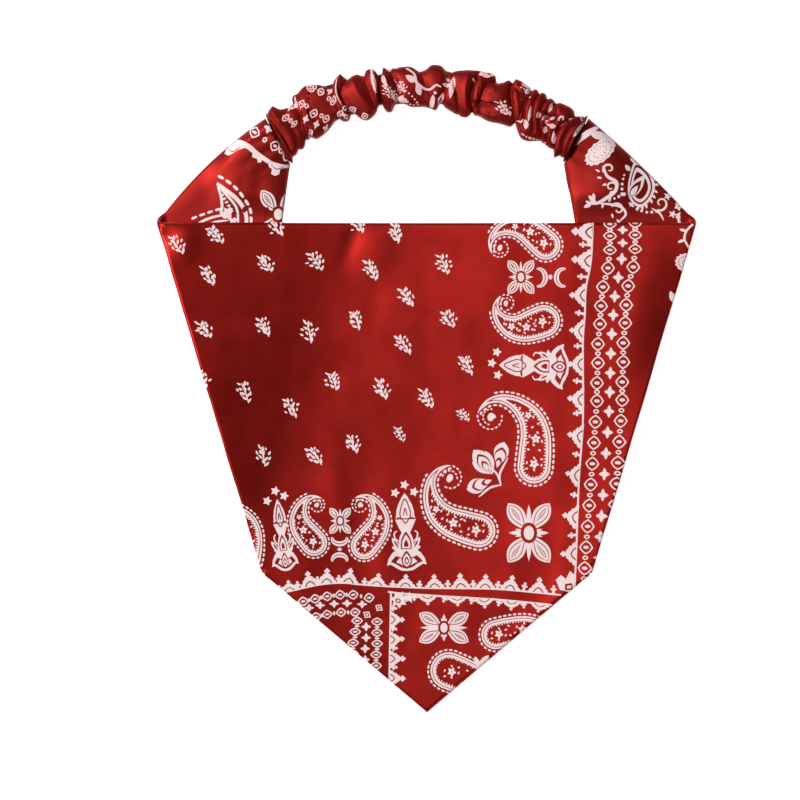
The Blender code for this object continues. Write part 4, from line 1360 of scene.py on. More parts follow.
# ---------------------------------------------------------------------------- the kerchief's cloths
def fold_rows(count=24):
    """Rows across a fold, finer where its section turns."""
    heading = np.unwrap(np.arctan2(np.diff(FOLD_LEVEL), np.diff(FOLD_OUT)))
    weight = np.r_[0.0, np.cumsum(np.abs(np.diff(heading)) * 0.35), 0.0]
    weight[-1] = weight[-2]
    weight = weight + FOLD_SHARE * 3.7
    return np.interp(np.linspace(0, weight[-1], count), weight, FOLD_SHARE)


FOLD_ROWS = fold_rows()


CUT_X, CUT_Y = (-0.23, 0.23), (-0.16, 0.13)  # the box that the whole cut is in
EDGE_ROWS = (0.0003, 0.0007, 0.0013, 0.0024)  # rows of points along a cut's edge, this far in
GRID, GRID_FOLD, GRID_WING, GRID_UNDER = 0.0026, 0.0022, 0.0012, 0.0070
WING_BOX = (0.055, 0.130), (0.070, 0.128)  # the part of a wing that shows
EDGE_GAP, FOLD_GAP = 0.0031, 0.001  # between the even grid and the edge's rows or a fold
NORMAL_STEP = 0.00008


def even_grid(x, y, step):
    return np.stack(np.meshgrid(np.arange(*x, step), np.arange(*y, step)), -1)


def fold_grid(fold, front, downs, shares):
    """Points of the cut in rows along a fold. The shares run from the panel to the wing."""
    down, share = np.meshgrid(downs, shares)
    radius = fold.radius(down) - (0 if front else LAYER)
    return fold.point(down, fold.bend_line(down) - math.pi * radius * share).reshape(-1, 2)


def well_inside(points, boundary, following, gap):
    points = points[inside(boundary, points)]
    return points[distance_to(points, boundary, following) > gap]


def inner_grid(boundary, following, front):
    """Points inside the cut: rows along its edge, an even grid, and finer ones where it shows most."""
    run = following - boundary
    run /= np.maximum(np.hypot(*run.T), 1e-9)[:, None]
    into = np.column_stack((run[:, 1], -run[:, 0]))  # the outline runs clockwise
    rows = []
    for depth in EDGE_ROWS:
        row = (boundary + following) / 2 + into * depth
        clear = distance_to(row, boundary, following) > depth * 0.97
        rows.append(row[clear & inside(boundary, row)])
    grid = even_grid(CUT_X, CUT_Y, GRID)
    grid[1::2, :, 0] += GRID / 2
    grid = grid.reshape(-1, 2)
    fine = []
    for side, fold in FOLDS.items():
        own = (grid[:, 0] >= 0) == (side == RIGHT)
        down, inward = fold.place(grid)
        line = fold.bend_line(down)
        past = inward > line - math.pi * fold.radius(down) - FOLD_GAP
        covered = own & (inward < line + FOLD_GAP) & past
        downs = np.arange(-0.012, fold.length + 0.012, GRID_FOLD)
        fine.append(fold_grid(fold, front, downs, FOLD_ROWS))
        if not front:
            spread = even_grid(*WING_BOX, GRID_WING).reshape(-1, 2) * (side, 1)
            spread_down, spread_inward = fold.place(spread)
            spread = spread[spread_inward > fold.bend_line(spread_down) + FOLD_GAP]
            fine.append(to_cut(fold, spread, front))
            wing = own & (inward < line - math.pi * (fold.radius(down) - LAYER))
            covered |= wing & (to_cut(fold, grid, front)[:, 1] > WING_BOX[1][0])
        grid = grid[~covered]
    return np.vstack((*rows, well_inside(np.vstack((grid, *fine)), boundary, following, EDGE_GAP)))


def under_grid(boundary, following, front):
    """Points inside the cut for the cloth's hidden side, which needs fewer."""
    rows = [even_grid(CUT_X, CUT_Y, GRID_UNDER).reshape(-1, 2)]
    for fold in FOLDS.values():
        downs = np.arange(0.004, fold.length, GRID_UNDER)
        rows.append(fold_grid(fold, front, downs, np.linspace(-0.15, 1.15, 9)))
    return well_inside(np.vstack(rows), boundary, following, GRID_UNDER / 2)


def sheet_points(points, front):
    """The middle of the solid's wall at points of the cut, and which way is out of the headscarf."""
    middle = cloth_middle(points, front)
    dx, dy = (
        cloth_middle(points + step, front) - cloth_middle(points - step, front)
        for step in np.array(((NORMAL_STEP, 0), (0, NORMAL_STEP)))
    )
    normal = np.cross(dx, dy)
    normal /= np.linalg.norm(normal, axis=1)[:, None]
    return middle, normal if front else -normal


def rolled(distance, width):
    """How far a turned edge has come up at a distance from its seam."""
    return 1 - (1 - np.clip(distance / width, 0, 1)) ** 3


def kerchief_cloth(name, front, prints, materials):
    """One of the two cloths: a thin shell with the print inlaid. Also its cut's size and area."""
    boundary, kinds = cut_outline(front)
    following = np.roll(boundary, -1, axis=0)
    hem, end = kinds == "hem", kinds == "end"

    def surfaces(points):
        """How far out the cloth's two sides are from the middle of the solid's wall."""
        seam = -LAYER / 2 + SEAM_SLIT / 2
        out = mix(seam, WALL / 2, rolled(distance_to(points, boundary[hem], following[hem]), ROLL))
        end_roll = rolled(distance_to(points, boundary[end], following[end]), END_ROLL)
        out = np.minimum(out, WALL / 2 - END_DROP * (1 - end_roll))
        return out, np.maximum(out - CLOTH, seam - SEAM_SLIT / 4)

    grid = inner_grid(boundary, following, front)
    flat, faces = triangulated(boundary, [loop for loop, _ in prints], grid)
    inked = painted(prints, flat, faces)
    middle, outward = sheet_points(flat, front)
    outer = middle + outward * surfaces(flat)[0][:, None]

    # the hidden side, with the same points along its rim
    rim = rim_of(faces)
    under_flat, under_faces = triangulated(flat[rim], [], under_grid(boundary, following, front))
    middle, normal = sheet_points(under_flat, front)
    inner = middle + normal * surfaces(under_flat)[1][:, None]
    numbers = {tuple(np.round(point, 8)): k for k, point in enumerate(under_flat)}
    rim_inner = np.array([numbers[tuple(np.round(point, 8))] for point in flat[rim]]) + len(outer)
    a, b, c, d = rim, np.roll(rim, -1), rim_inner, np.roll(rim_inner, -1)
    wall = np.vstack((np.column_stack((b, a, c)), np.column_stack((b, c, d))))
    if front:
        under_faces = under_faces[:, ::-1]
    else:
        faces, wall = faces[:, ::-1], wall[:, ::-1]

    normals = vertex_normals(outer, faces)
    inland = distance_to(flat, boundary, following) > ROLL + 0.0002
    normals[inland] = outward[inland]
    made = make_object(
        name,
        np.vstack((outer, inner)),
        np.vstack((faces, under_faces + len(outer), wall)),
        np.r_[inked, np.zeros(len(under_faces) + len(wall), bool)],
        np.vstack((flat, under_flat)),
        np.vstack((normals, vertex_normals(inner, under_faces))),
        materials,
    )
    a, b = boundary, following
    area = abs(float(np.sum(a[:, 0] * b[:, 1] - a[:, 1] * b[:, 0])) / 2)
    return made, boundary.max(0) - boundary.min(0), area


# ------------------------------------------------------------------------------ the gathered band
CASING_ROUND = 0.055
# The band's ragged outer and inner edges, in photo units
BAND_OUTER = (
    (262, 118), (268, 110), (273, 107), (279, 109), (285, 106), (290, 103), (292, 97), (297, 94),
    (303, 87), (315, 83), (326, 84), (330, 85), (334, 80), (341, 74), (344, 77), (350, 77), (357, 74),
    (363, 74), (366, 70), (372, 69), (380, 74), (384, 67), (395, 67), (412, 67), (420, 70), (426, 69),
    (431, 65), (438, 65), (445, 67), (450, 71), (455, 70), (475, 70), (485, 72), (492, 73), (496, 76),
    (498, 82), (504, 82), (509, 79), (516, 79), (522, 81), (528, 86), (540, 91), (546, 94), (552, 99),
    (568, 106), (575, 111), (580, 116), (586, 116), (590, 120),
)
BAND_INNER = (
    (290, 166), (297, 156), (299, 150), (303, 150), (307, 145), (311, 137), (317, 139), (332, 129),
    (338, 121), (346, 122), (354, 116), (366, 121), (376, 114), (378, 108), (382, 106), (384, 110),
    (389, 113), (393, 111), (395, 107), (405, 105), (412, 108), (430, 109), (436, 111), (440, 106),
    (453, 113), (459, 117), (466, 118), (476, 115), (487, 121), (503, 125), (511, 127), (515, 124),
    (519, 136), (526, 141), (540, 142), (549, 149), (554, 158), (558, 156), (566, 160),
)
# Each crease: its run from the outer to the inner edge in photo units, its depth, and how far it
# spreads to its left and its right, in mm. A ridge has a depth below zero.
BAND_CREASES = (
    (((264, 114), (271, 120), (278, 130), (288, 145), (294, 159)), 1.6, 0.5, 2.4),
    (((274, 106), (272, 112), (279, 122)), -0.7, 0.7, 0.9),
    (((283, 112), (292, 126), (300, 142)), 0.7, 2.2, 1.6),
    (((290, 99), (297, 104), (301, 114), (303, 128), (308, 142)), 2.4, 5.0, 0.4),
    (((306, 92), (310, 106), (316, 124)), 0.5, 2.4, 2.8),
    (((330, 82), (331, 98), (336, 112), (340, 124)), 1.9, 9.0, 1.0),
    (((342, 74), (338, 84), (337, 94), (342, 106), (348, 118)), -0.7, 0.8, 0.3),
    (((344, 77), (341, 86), (341, 95), (346, 106), (352, 117)), 2.0, 0.4, 2.6),
    (((352, 80), (358, 94), (370, 108)), -0.6, 1.6, 1.8),
    (((364, 74), (369, 90), (375, 106)), 1.3, 3.4, 1.0),
    (((373, 71), (374, 84), (377, 97)), -0.7, 0.9, 0.5),
    (((378, 72), (378, 84), (379, 97), (382, 107)), 3.0, 0.5, 2.2),
    (((383, 69), (386, 80), (389, 92), (391, 106)), -0.9, 0.8, 0.5),
    (((388, 66), (395, 79), (399, 92), (398, 108)), 2.0, 1.6, 1.4),
    (((424, 92), (424, 100), (424, 108)), 0.7, 5.0, 3.0),
    (((418, 68), (424, 80), (428, 91), (434, 100)), 1.1, 2.2, 1.6),
    (((446, 68), (449, 80), (445, 92), (442, 106)), 1.6, 1.6, 1.0),
    (((452, 72), (454, 86), (457, 100), (458, 114)), 1.3, 0.5, 2.6),
    (((468, 74), (465, 92), (466, 110)), -0.5, 1.6, 1.2),
    (((478, 76), (473, 88), (471, 101), (472, 115)), 2.8, 1.2, 0.4),
    (((480, 82), (476, 96), (476, 112)), -0.5, 0.5, 1.0),
    (((494, 79), (487, 84), (482, 93), (478, 106)), 2.1, 0.5, 2.6),
    (((477, 104), (486, 106), (497, 105), (504, 102)), 1.6, 1.6, 0.6),
    (((478, 113), (488, 116), (500, 117)), -0.6, 1.0, 1.2),
    (((512, 84), (511, 98), (512, 118)), 0.7, 4.5, 1.0),
    (((514, 80), (512, 92), (512, 106), (514, 122)), 2.4, 1.8, 0.3),
    (((516, 84), (516, 100), (518, 118)), -0.6, 0.4, 1.2),
    (((516, 87), (521, 93), (530, 92)), 1.8, 1.2, 1.0),
    (((533, 88), (528, 98), (524, 110), (524, 126)), 1.7, 0.9, 0.5),
    (((541, 91), (535, 101), (532, 113), (533, 130)), 1.6, 0.8, 0.5),
    (((549, 97), (543, 106), (539, 119), (540, 138)), 2.0, 1.0, 0.4),
    (((557, 102), (549, 111), (545, 122), (546, 140)), 1.8, 0.8, 0.5),
    (((546, 112), (552, 114), (558, 117)), 1.6, 1.0, 1.0),
    (((578, 114), (568, 120), (559, 129), (554, 142), (552, 156)), 2.8, 1.2, 0.4),
    (((576, 119), (566, 126), (560, 137), (558, 150)), -0.6, 0.5, 0.9),
    (((584, 118), (571, 128), (563, 140), (560, 153)), 1.5, 0.6, 0.9),
    (((588, 121), (578, 131), (570, 142), (565, 155)), 1.3, 0.7, 0.9),
)
# How strongly each cinch shows on the band's top
TOP_CINCH = (0.3, 0.2, 0.0, 0.1, 0.0, 0.2, 0.1, 0.0, 0.1, 0.15, 0.0, 0.2, 0.1, 0.2, 0.2, 0.3)


def along_arc(point):
    return math.atan2(point[0], point[1] - ARC_CENTRE_Y) * ARC_RADIUS


def mouth_line(side, beyond):
    fold = FOLDS[side]
    return [along_arc(corner) - side * beyond for corner in (fold.end_outer, fold.end_inner)]


def band_stations():
    """Rows at every cinch and end: outer_at, inner_at, bow, outer_reach, inner_reach, height, low."""
    flat_end = (0.0, BAND_END_REACH, BAND_END_REACH, BAND_END_TOP, BAND_END_LOW)
    return np.array((
        (*mouth_line(LEFT, -BAND_INSERT), *flat_end),
        (*mouth_line(LEFT, BAND_CLEAR_OF_WING), *flat_end),
        (*mouth_line(LEFT, MOUTH_CINCH_AT), *MOUTH_CINCH, 0.0),
        *((*cinch, 0.0) for cinch in CINCHES),
        (*mouth_line(RIGHT, MOUTH_CINCH_AT), *MOUTH_CINCH, 0.0),
        (*mouth_line(RIGHT, BAND_CLEAR_OF_WING), *flat_end),
        (*mouth_line(RIGHT, -BAND_INSERT), *flat_end),
    ))


STATIONS = band_stations()
FIRST_PUFF, LAST_PUFF = 2, len(STATIONS) - 4
BAND_TOP = 0.0120  # height of the puffs
SWELL_POWER, TOP_POWER = 0.30, 0.55
# Just outside a wing, from this row on, the casing is wider than the end that is sewn in
MOUTH_ROW, MOUTH_REACH = 0.88, 0.0032
INSIDE_DEPTH, INSIDE_FOLLOW = 0.0010, 0.25  # the plain inside: its depth, and its share of the puffs
LOWEST = 0.0002  # above the table
UNDER_SHARE = 0.25  # of the creases' depth, which goes on underneath
# Fine wrinkles: height, wavelength, seed, and how far round the casing counts beside its length
WRINKLES = ((0.00006, 0.0052, 21, 0.0022), (0.00020, 0.0120, 33, 0.0040))


def arc_place(points):
    """How far along the arc points are, and how far out from it."""
    x, y = points[:, 0], points[:, 1] - ARC_CENTRE_Y
    return np.arctan2(x, y) * ARC_RADIUS, np.hypot(x, y) - ARC_RADIUS


def arc_point(at, lateral):
    angle, radius = at / ARC_RADIUS, ARC_RADIUS + lateral
    return radius * np.sin(angle), ARC_CENTRE_Y + radius * np.cos(angle)


def edge_reach(line, sign):
    """Where along the arc each point of an edge is, and how far out or in from it."""
    points = to_metres(curve(line, 1.0))
    ease = np.array((1, 3, 4, 3, 1)) / 12
    points[2:-2] = sum(points[k : len(points) - 4 + k] * w for k, w in enumerate(ease))
    at, lateral = arc_place(points)
    at = np.maximum.accumulate(at + np.arange(len(at)) * 1e-7)
    return at, sign * lateral


OUTER_EDGE = edge_reach(BAND_OUTER, 1)
INNER_EDGE = edge_reach(BAND_INNER, -1)
CREASE_LINES = [
    (to_metres(curve(points, 4.0)), depth * MM, left * MM, right * MM)
    for points, depth, left, right in BAND_CREASES
]
CREASE_REACH, CREASE_TIP, CREASE_POWER = 0.010, 0.0016, 1.25


def crease_depth(seen):
    """How deep the creases are at places seen from above."""
    total = np.zeros(len(seen))
    for line, depth, left, right in CREASE_LINES:
        low, high = line.min(0) - CREASE_REACH, line.max(0) + CREASE_REACH
        near = np.flatnonzero(np.all((seen > low) & (seen < high), axis=1))
        spots = seen[near]
        nearest = np.full(len(spots), np.inf)
        signed = np.zeros(len(spots))
        beyond = np.zeros(len(spots))
        count = len(line) - 1
        for k in range(count):
            run = line[k + 1] - line[k]
            length = np.hypot(*run)
            offset = spots - line[k]
            along = offset @ run / length
            over = np.maximum(np.maximum(-along, along - length), 0)
            across = (offset[:, 0] * run[1] - offset[:, 1] * run[0]) / length
            away = np.hypot(across, over)
            closer = away < nearest
            nearest = np.where(closer, away, nearest)
            signed = np.where(closer, across, signed)
            end = (k == 0) & (along < 0) | (k == count - 1) & (along > length)
            beyond = np.where(closer, np.where(end, over, 0.0), beyond)
        width = np.where(signed < 0, right, left)
        shape = np.exp(-((np.abs(signed) / width) ** CREASE_POWER))
        total[near] += depth * (shape * np.exp(-((beyond / CREASE_TIP) ** 2)))
    return total


def band_surface(q, theta, inner=False):
    """Points of the casing. q counts the cinches along it, and theta runs round it from its outer
    edge over the top."""
    k = np.clip(np.floor(q).astype(int), 0, len(STATIONS) - 2)
    share = q - k
    drawn = mix(STATIONS[k], STATIONS[k + 1], share[:, None])
    outer_at, inner_at, bow, outer_reach, inner_reach, height, low = drawn.T
    puffed = (k >= FIRST_PUFF) & (k <= LAST_PUFF)
    number = np.clip(k - FIRST_PUFF, 0, len(PUFF_CRESTS) - 1)
    crest = np.clip(share, 1e-6, 1 - 1e-6) ** np.array(PUFF_CRESTS)[number]
    swell = np.where(puffed, np.clip(4 * crest * (1 - crest), 0, None) ** SWELL_POWER, 0.0)
    if not inner:
        from_end = np.minimum(q, len(STATIONS) - 1 - q)
        wider = MOUTH_REACH * np.clip((from_end - MOUTH_ROW) / (1 - MOUTH_ROW), 0, 1)
        ragged = np.clip(from_end - 1, 0, 1)
        outer_reach = mix(outer_reach + wider, np.interp(outer_at, *OUTER_EDGE), ragged)
        inner_reach = mix(inner_reach + wider, np.interp(inner_at, *INNER_EDGE), ragged)
    shows = np.interp(q, FIRST_PUFF + np.arange(len(TOP_CINCH)), TOP_CINCH)
    follow = INSIDE_FOLLOW if inner else 1.0
    height = mix(height, BAND_TOP, (1 - (1 - swell) * shows) * follow * puffed)

    cosine, sine = np.cos(theta), np.sin(theta)
    reach = np.where(cosine >= 0, outer_reach, inner_reach)
    lateral = np.sign(cosine) * np.abs(cosine) ** BAND_ROUNDNESS * reach
    widest = mix(low, height, BAND_MIDDLE_SHARE)
    rise = np.where(sine >= 0, np.abs(sine) ** TOP_POWER, np.abs(sine) ** BAND_ROUNDNESS)
    under = mix(widest, low, np.minimum(1.0, BAND_FLAT_BOTTOM * rise))
    level = np.where(sine >= 0, mix(widest, height, rise), under)
    at = mix(outer_at, inner_at, (1 - cosine) / 2) + bow * np.maximum(0.0, sine)

    inward = np.full(len(q), INSIDE_DEPTH)
    if not inner:
        seen = np.column_stack(arc_point(at, lateral))
        shown = UNDER_SHARE + (1 - UNDER_SHARE) * smoothstep(-0.7, 0.0, sine)
        wrinkle = sum(
            ripples(at, theta * round_share, seed, length) * deep
            for deep, length, seed, round_share in WRINKLES
        )
        inward = np.where(puffed, crease_depth(seen) * shown + wrinkle * (0.4 + 0.6 * shown), 0.0)
    distance = np.hypot(lateral, level - widest)
    shrink = 1 - np.clip(inward / np.maximum(distance, 1e-5), -0.3, 0.6)
    level = np.maximum(widest + (level - widest) * shrink, LOWEST)
    return np.column_stack((*arc_point(at, lateral * shrink), level))


def band_strip():
    """The flat strip's own measure: how far along it each q is."""
    q = np.linspace(0, len(STATIONS) - 1, 3000)
    crest = band_surface(q, np.full(len(q), math.pi / 2))
    return q, np.r_[0.0, np.cumsum(np.linalg.norm(np.diff(crest, axis=0), axis=1))]


STRIP_Q, STRIP_RUN = band_strip()
STRIP_LENGTH = float(STRIP_RUN[-1])
SEAM_THETA = -math.pi / 2  # the casing's own seam is underneath


def round_casing(across):
    """The angle round the casing at a place across the flat strip."""
    return SEAM_THETA + across / CASING_ROUND * 2 * math.pi


def photo_to_strip(points):
    """From where the band's top shows a place to that place on the flat strip."""
    at, lateral = arc_place(to_metres(points))
    reach = np.where(lateral > 0, np.interp(at, *OUTER_EDGE), np.interp(at, *INNER_EDGE))
    share = np.clip(lateral / reach, -0.98, 0.98)
    cosine = np.sign(share) * np.abs(share) ** (1 / BAND_ROUNDNESS)
    theta = np.arccos(cosine)
    lines = mix(STATIONS[:, 0][None], STATIONS[:, 1][None], (1 - cosine[:, None]) / 2)
    lines = lines + STATIONS[:, 2][None] * np.sin(theta)[:, None]
    q = np.array([np.interp(a, row, np.arange(len(row))) for a, row in zip(at, lines)])
    x = np.interp(q, STRIP_Q, STRIP_RUN)
    return np.column_stack((x, (theta - SEAM_THETA) / (2 * math.pi) * CASING_ROUND))


UNDER_COLUMNS, UNDER_ROWS = 16, (0.11, 0.90)  # motifs underneath, and where their rows are


def band_print():
    ink = Ink()
    for centre, width, height, tilt in (
        ((285, 117), 3.6, 5.0, 0.7), ((294, 124), 3.0, 5.0, 0.6), ((302, 105), 3.6, 4.8, 0.5),
        ((314, 114), 4.4, 5.6, 0.35), ((327, 121), 4.0, 5.0, 0.4), ((310, 88), 4.4, 3.6, 0.6),
        ((320, 90), 3.8, 4.8, 0.4), ((333, 101), 3.8, 5.2, 0.3), ((341, 116), 3.6, 4.2, 0.5),
        ((353, 112), 4.2, 4.0, -0.5), ((365, 117), 3.8, 3.6, -0.4), ((311, 135), 3.2, 4.0, 0.6),
    ):
        diamond(ink, centre, width, height, tilt)
    for centre in ((307, 107), (322, 117), (314, 86), (328, 97), (345, 109), (290, 120), (346, 117)):
        bead(ink, centre, 2.2, 2.8, 0.3)
    for centre in ((306, 120), (317, 126), (329, 89), (294, 102), (327, 131), (289, 106)):
        cross_star(ink, centre, 3.6, 5.0, 0.4)
    ink.ink(stroke([(337, 79), (336, 86), (337, 96), (342, 106)], 1.6))
    ink.ink(stroke([(371, 72), (374, 84), (376, 94)], 4.4, 0.9), ellipse((373, 71), 3.0, 2.4))
    ink.ink(ellipse((388, 67), 3.4, 1.8), ellipse((396, 67), 3.0, 1.8), leaf((381, 74), -1.2, 16, 4, 0.9, 5))
    for centre in ((388, 92), (394, 98), (402, 88)):
        sprig(ink, centre, int(centre[0] + centre[1]), 0.62)
    ink.ink(((395, 104), (402, 97), (409, 104), (400, 107)))
    dotted(ink, [(394, 78), (400, 88), (408, 94), (414, 100), (417, 104)], 10, 0.9, 1.1)
    dotted(ink, [(398, 92), (404, 98), (411, 106), (418, 106)], 8, 0.8)
    ink.ink(stroke([(406, 69), (414, 74), (417, 84), (428, 91), (436, 86), (441, 88)], 3.0, 0.5))
    ink.ink(leaf((415, 82), 2.6, 11, 7, 0.7, 7), leaf((416, 84), -1.25, 14, 6, 1.3, 7))
    ink.ink(
        leaf((431, 110), 1.4, 14, 5, 0.9, 5), leaf((438, 108), 1.2, 15, 5, 0.9, 5),
        ellipse((435, 94), 1.8, count=7),
    )
    ink.bare(leaf((438.6, 106), 1.2, 9, 1.8, 0.9, 4))
    ink.ink(
        leaf((454, 76), -1.75, 24, 6, 0.9, 6), leaf((451, 87), 2.8, 9, 5, 0.9, 5),
        leaf((449, 82), 2.0, 6, 3, 0.9, 4),
    )
    ink.ink(
        leaf((479, 73), -0.4, 12, 6, 0.8, 6), leaf((489, 76), 0.3, 8, 3.6, 0.9, 5),
        ellipse((474, 79), 1.9, 1.3),
    )
    sprig(ink, (504, 111), 77, 0.95)
    ink.ink(leaf((521, 84), -0.5, 10, 3.6, 0.8, 4), leaf((524, 92), 0.4, 9, 3, 0.8, 4))
    dotted(ink, [(521, 88), (526, 92), (530, 97)], 5, 0.9)
    ink.ink(
        leaf((531, 106), -1.75, 17, 3.4, 0.9, 5), ellipse((525.5, 125), 2.8, 4.6),
        stroke([(516, 121), (520, 123), (523, 120)], 2.2),
    )
    ink.ink(
        ellipse((538, 116), 2.2, 4.0, 0.3), ellipse((551, 107), 2.0, 4.4, 0.5),
        ellipse((544, 132), 1.8, 3.4), ellipse((552, 127), 3.2, 2.6),
    )
    ink.ink(
        leaf((541, 122), 0.9, 10, 3, 0.9, 4), leaf((549, 121), 0.6, 9, 3, 0.9, 4),
        leaf((552, 147), 1.5, 15, 3.6, 0.9, 5),
    )
    scroll(ink, (547, 123), 3.6, 0.6, 0.8, 1.8)
    scroll(ink, (562, 119), 3.8, 2.6, 0.8, 1.8)
    dotted(ink, [(522, 134), (527, 138), (535, 141), (544, 144)], 10, 0.9, 1.2)
    dotted(ink, [(560, 126), (566, 122), (572, 119)], 6, 0.8)
    ink.ink(
        stroke([(570, 117), (578, 116), (584, 119)], 2.0),
        stroke([(586, 122), (580, 128), (572, 138)], 3.6, 0.8),
    )
    top = [(photo_to_strip(loop), paint) for loop, paint in ink.loops]

    # underneath, two loose rows
    under = Ink()
    draw = np.random.default_rng(3)
    for k in range(UNDER_COLUMNS):
        x = mix(12.0, STRIP_LENGTH / UNIT - 12.0, (k + 0.5) / UNDER_COLUMNS)
        for side, share in enumerate(UNDER_ROWS):
            y = CASING_ROUND / UNIT * share + draw.uniform(-2, 2)
            spot = (x + draw.uniform(-4, 4), y)
            kind = (k + side) % 3
            if kind == 0:
                diamond(under, spot, 4.4, 5.4)
            elif kind == 1:
                cross_star(under, spot, 4.6, 5.0)
            else:
                sprig(under, spot, 300 + 2 * k + side, 0.6)
    within = ((-np.inf, 0.4), (np.inf, CASING_ROUND / UNIT - 0.4))
    return [(np.clip(loop, *within) * UNIT, paint) for loop, paint in under.loops] + top


CASING_STEP, PRINT_MARGIN, CASING_NORMAL_STEP = 0.00065, 0.0004, 0.012
ON_EDGE = 1e-7
INSIDE_ROWS = 64


def end_wall(here, following, inner_here, inner_following):
    """Faces between the casing's outside and inside at one of its ends."""
    both = (following, here, inner_here, following, inner_here, inner_following)
    return np.stack(both, -1).reshape(-1, 3)


def band_casing(name, prints, materials):
    """The casing: a tube with the print inlaid, and a plain inside joined to it at both ends."""
    length = STRIP_LENGTH
    xs = np.linspace(0, length, int(length / CASING_STEP) + 1)
    # finer over the top, which shows
    top = np.linspace(0.25, 0.75, 44)[1:]
    ys = CASING_ROUND * np.r_[np.linspace(0, 0.25, 12), top, np.linspace(0.75, 1, 12)[1:]]
    sides_round = ((xs[:-1], 0.0), (length, ys[:-1]), (xs[:0:-1], CASING_ROUND), (0.0, ys[:0:-1]))
    boundary = np.vstack([np.column_stack(np.broadcast_arrays(x, y)) for x, y in sides_round])
    grid = np.stack(np.meshgrid(xs[1:-1], ys[1:-1]), -1).reshape(-1, 2)
    within = ((PRINT_MARGIN, -np.inf), (length - PRINT_MARGIN, np.inf))
    prints = [(np.clip(loop, *within), paint) for loop, paint in prints]
    flat, faces = triangulated(boundary, [loop for loop, _ in prints], grid)
    inked = painted(prints, flat, faces)

    q = np.interp(flat[:, 0], STRIP_RUN, STRIP_Q)
    theta = round_casing(flat[:, 1])
    outer = band_surface(q, theta)
    # normals from the surface itself
    step = CASING_NORMAL_STEP
    high_q, low_q = np.minimum(q + step, len(STATIONS) - 1), np.maximum(q - step, 0)
    along = band_surface(high_q, theta) - band_surface(low_q, theta)
    around = band_surface(q, theta + step) - band_surface(q, theta - step)
    normals = np.cross(around, along)
    normals /= np.maximum(np.linalg.norm(normals, axis=1), 1e-12)[:, None]

    # join the two long edges
    lower = np.flatnonzero(flat[:, 1] < ON_EDGE)
    joined_to = np.arange(len(flat))
    for k in np.flatnonzero(flat[:, 1] > CASING_ROUND - ON_EDGE):
        joined_to[k] = lower[np.argmin(np.abs(flat[lower, 0] - flat[k, 0]))]
    joined = joined_to[faces][:, ::-1]

    # the inside, with the same ring of points at each end
    rings = []
    for edge in (0.0, length):
        ring = np.abs(flat[:, 0] - edge) < ON_EDGE
        ring = np.flatnonzero(ring & (flat[:, 1] < CASING_ROUND - ON_EDGE))
        rings.append(ring[np.argsort(flat[ring, 1])])
    rows = np.linspace(0, len(STATIONS) - 1, INSIDE_ROWS)
    ring_y = flat[rings[0], 1]
    ring_theta = round_casing(ring_y)
    inner = np.vstack([band_surface(np.full(len(ring_y), row), ring_theta, True) for row in rows])
    inner_flat = np.meshgrid(np.interp(rows, STRIP_Q, STRIP_RUN), ring_y, indexing="ij")
    index = len(outer) + np.arange(len(inner)).reshape(len(rows), -1)
    a, b = index[:-1], index[1:]
    a2, b2 = np.roll(a, -1, axis=1), np.roll(b, -1, axis=1)
    tube = np.vstack([np.column_stack([k.ravel() for k in face]) for face in ((b, a2, a), (b2, a2, b))])
    first, last = ((ring, np.roll(ring, -1)) for ring in rings)
    inner_first, inner_last = ((row, np.roll(row, -1)) for row in (index[0], index[-1]))
    walls = (end_wall(*first, *inner_first), end_wall(*last[::-1], *inner_last[::-1]))

    points = np.vstack((outer, inner))
    all_faces = np.vstack((joined, tube, *walls))
    all_inked = np.r_[inked, np.zeros(len(all_faces) - len(joined), bool)]
    all_flat = np.vstack((flat, np.stack(inner_flat, -1).reshape(-1, 2)))
    all_normals = np.vstack((normals, vertex_normals(points, tube)[len(outer) :]))
    used, inverse = np.unique(all_faces, return_inverse=True)
    all_faces = inverse.reshape(all_faces.shape)
    return make_object(
        name, points[used], all_faces, all_inked, all_flat[used], all_normals[used], materials,
    )


# --------------------------------------------------------------------------------------- materials
# Each cloth's colours, from the darker to the lighter of its slow unevenness. The wings' and the band's
# ground are the panel's red satin made darker, which is painted shade, and the band's print is the print
# made darker and duller, also painted shade.
GROUND = (0.385, 0.0160, 0.0120, 1), (0.480, 0.0220, 0.0170, 1)
# the wings' satin: the panel's red, made darker as painted shade
WING_GROUND_PAINTED_SHADE = (0.262, 0.0112, 0.0086, 1), (0.325, 0.0155, 0.0119, 1)
# the band's satin: the panel's red, made darker still as painted shade
BAND_GROUND_PAINTED_SHADE = (0.215, 0.0092, 0.0072, 1), (0.275, 0.0130, 0.0102, 1)
PRINT = (0.82, 0.635, 0.640, 1), (0.94, 0.775, 0.785, 1)
# the band's print: the same print, made darker and duller as painted shade
BAND_PRINT_PAINTED_SHADE = (0.80, 0.480, 0.480, 1), (0.92, 0.600, 0.605, 1)
WEBBING = (0.62, 0.60, 0.56, 1), (0.84, 0.82, 0.78, 1)
TABLE = (0.33, 0.33, 0.33, 1), (0.36, 0.36, 0.36, 1)
THREADS, GRAIN, CLOUDY = 900.0, 1500.0, 60.0  # how fine the satin's weave, grain and colour are


def set_values(made, values):
    """Sets a node's sockets by their names, and its other settings."""
    for name, value in values.items():
        if name in made.inputs:
            made.inputs[name].default_value = value
        else:
            setattr(made, name, value)
    return made


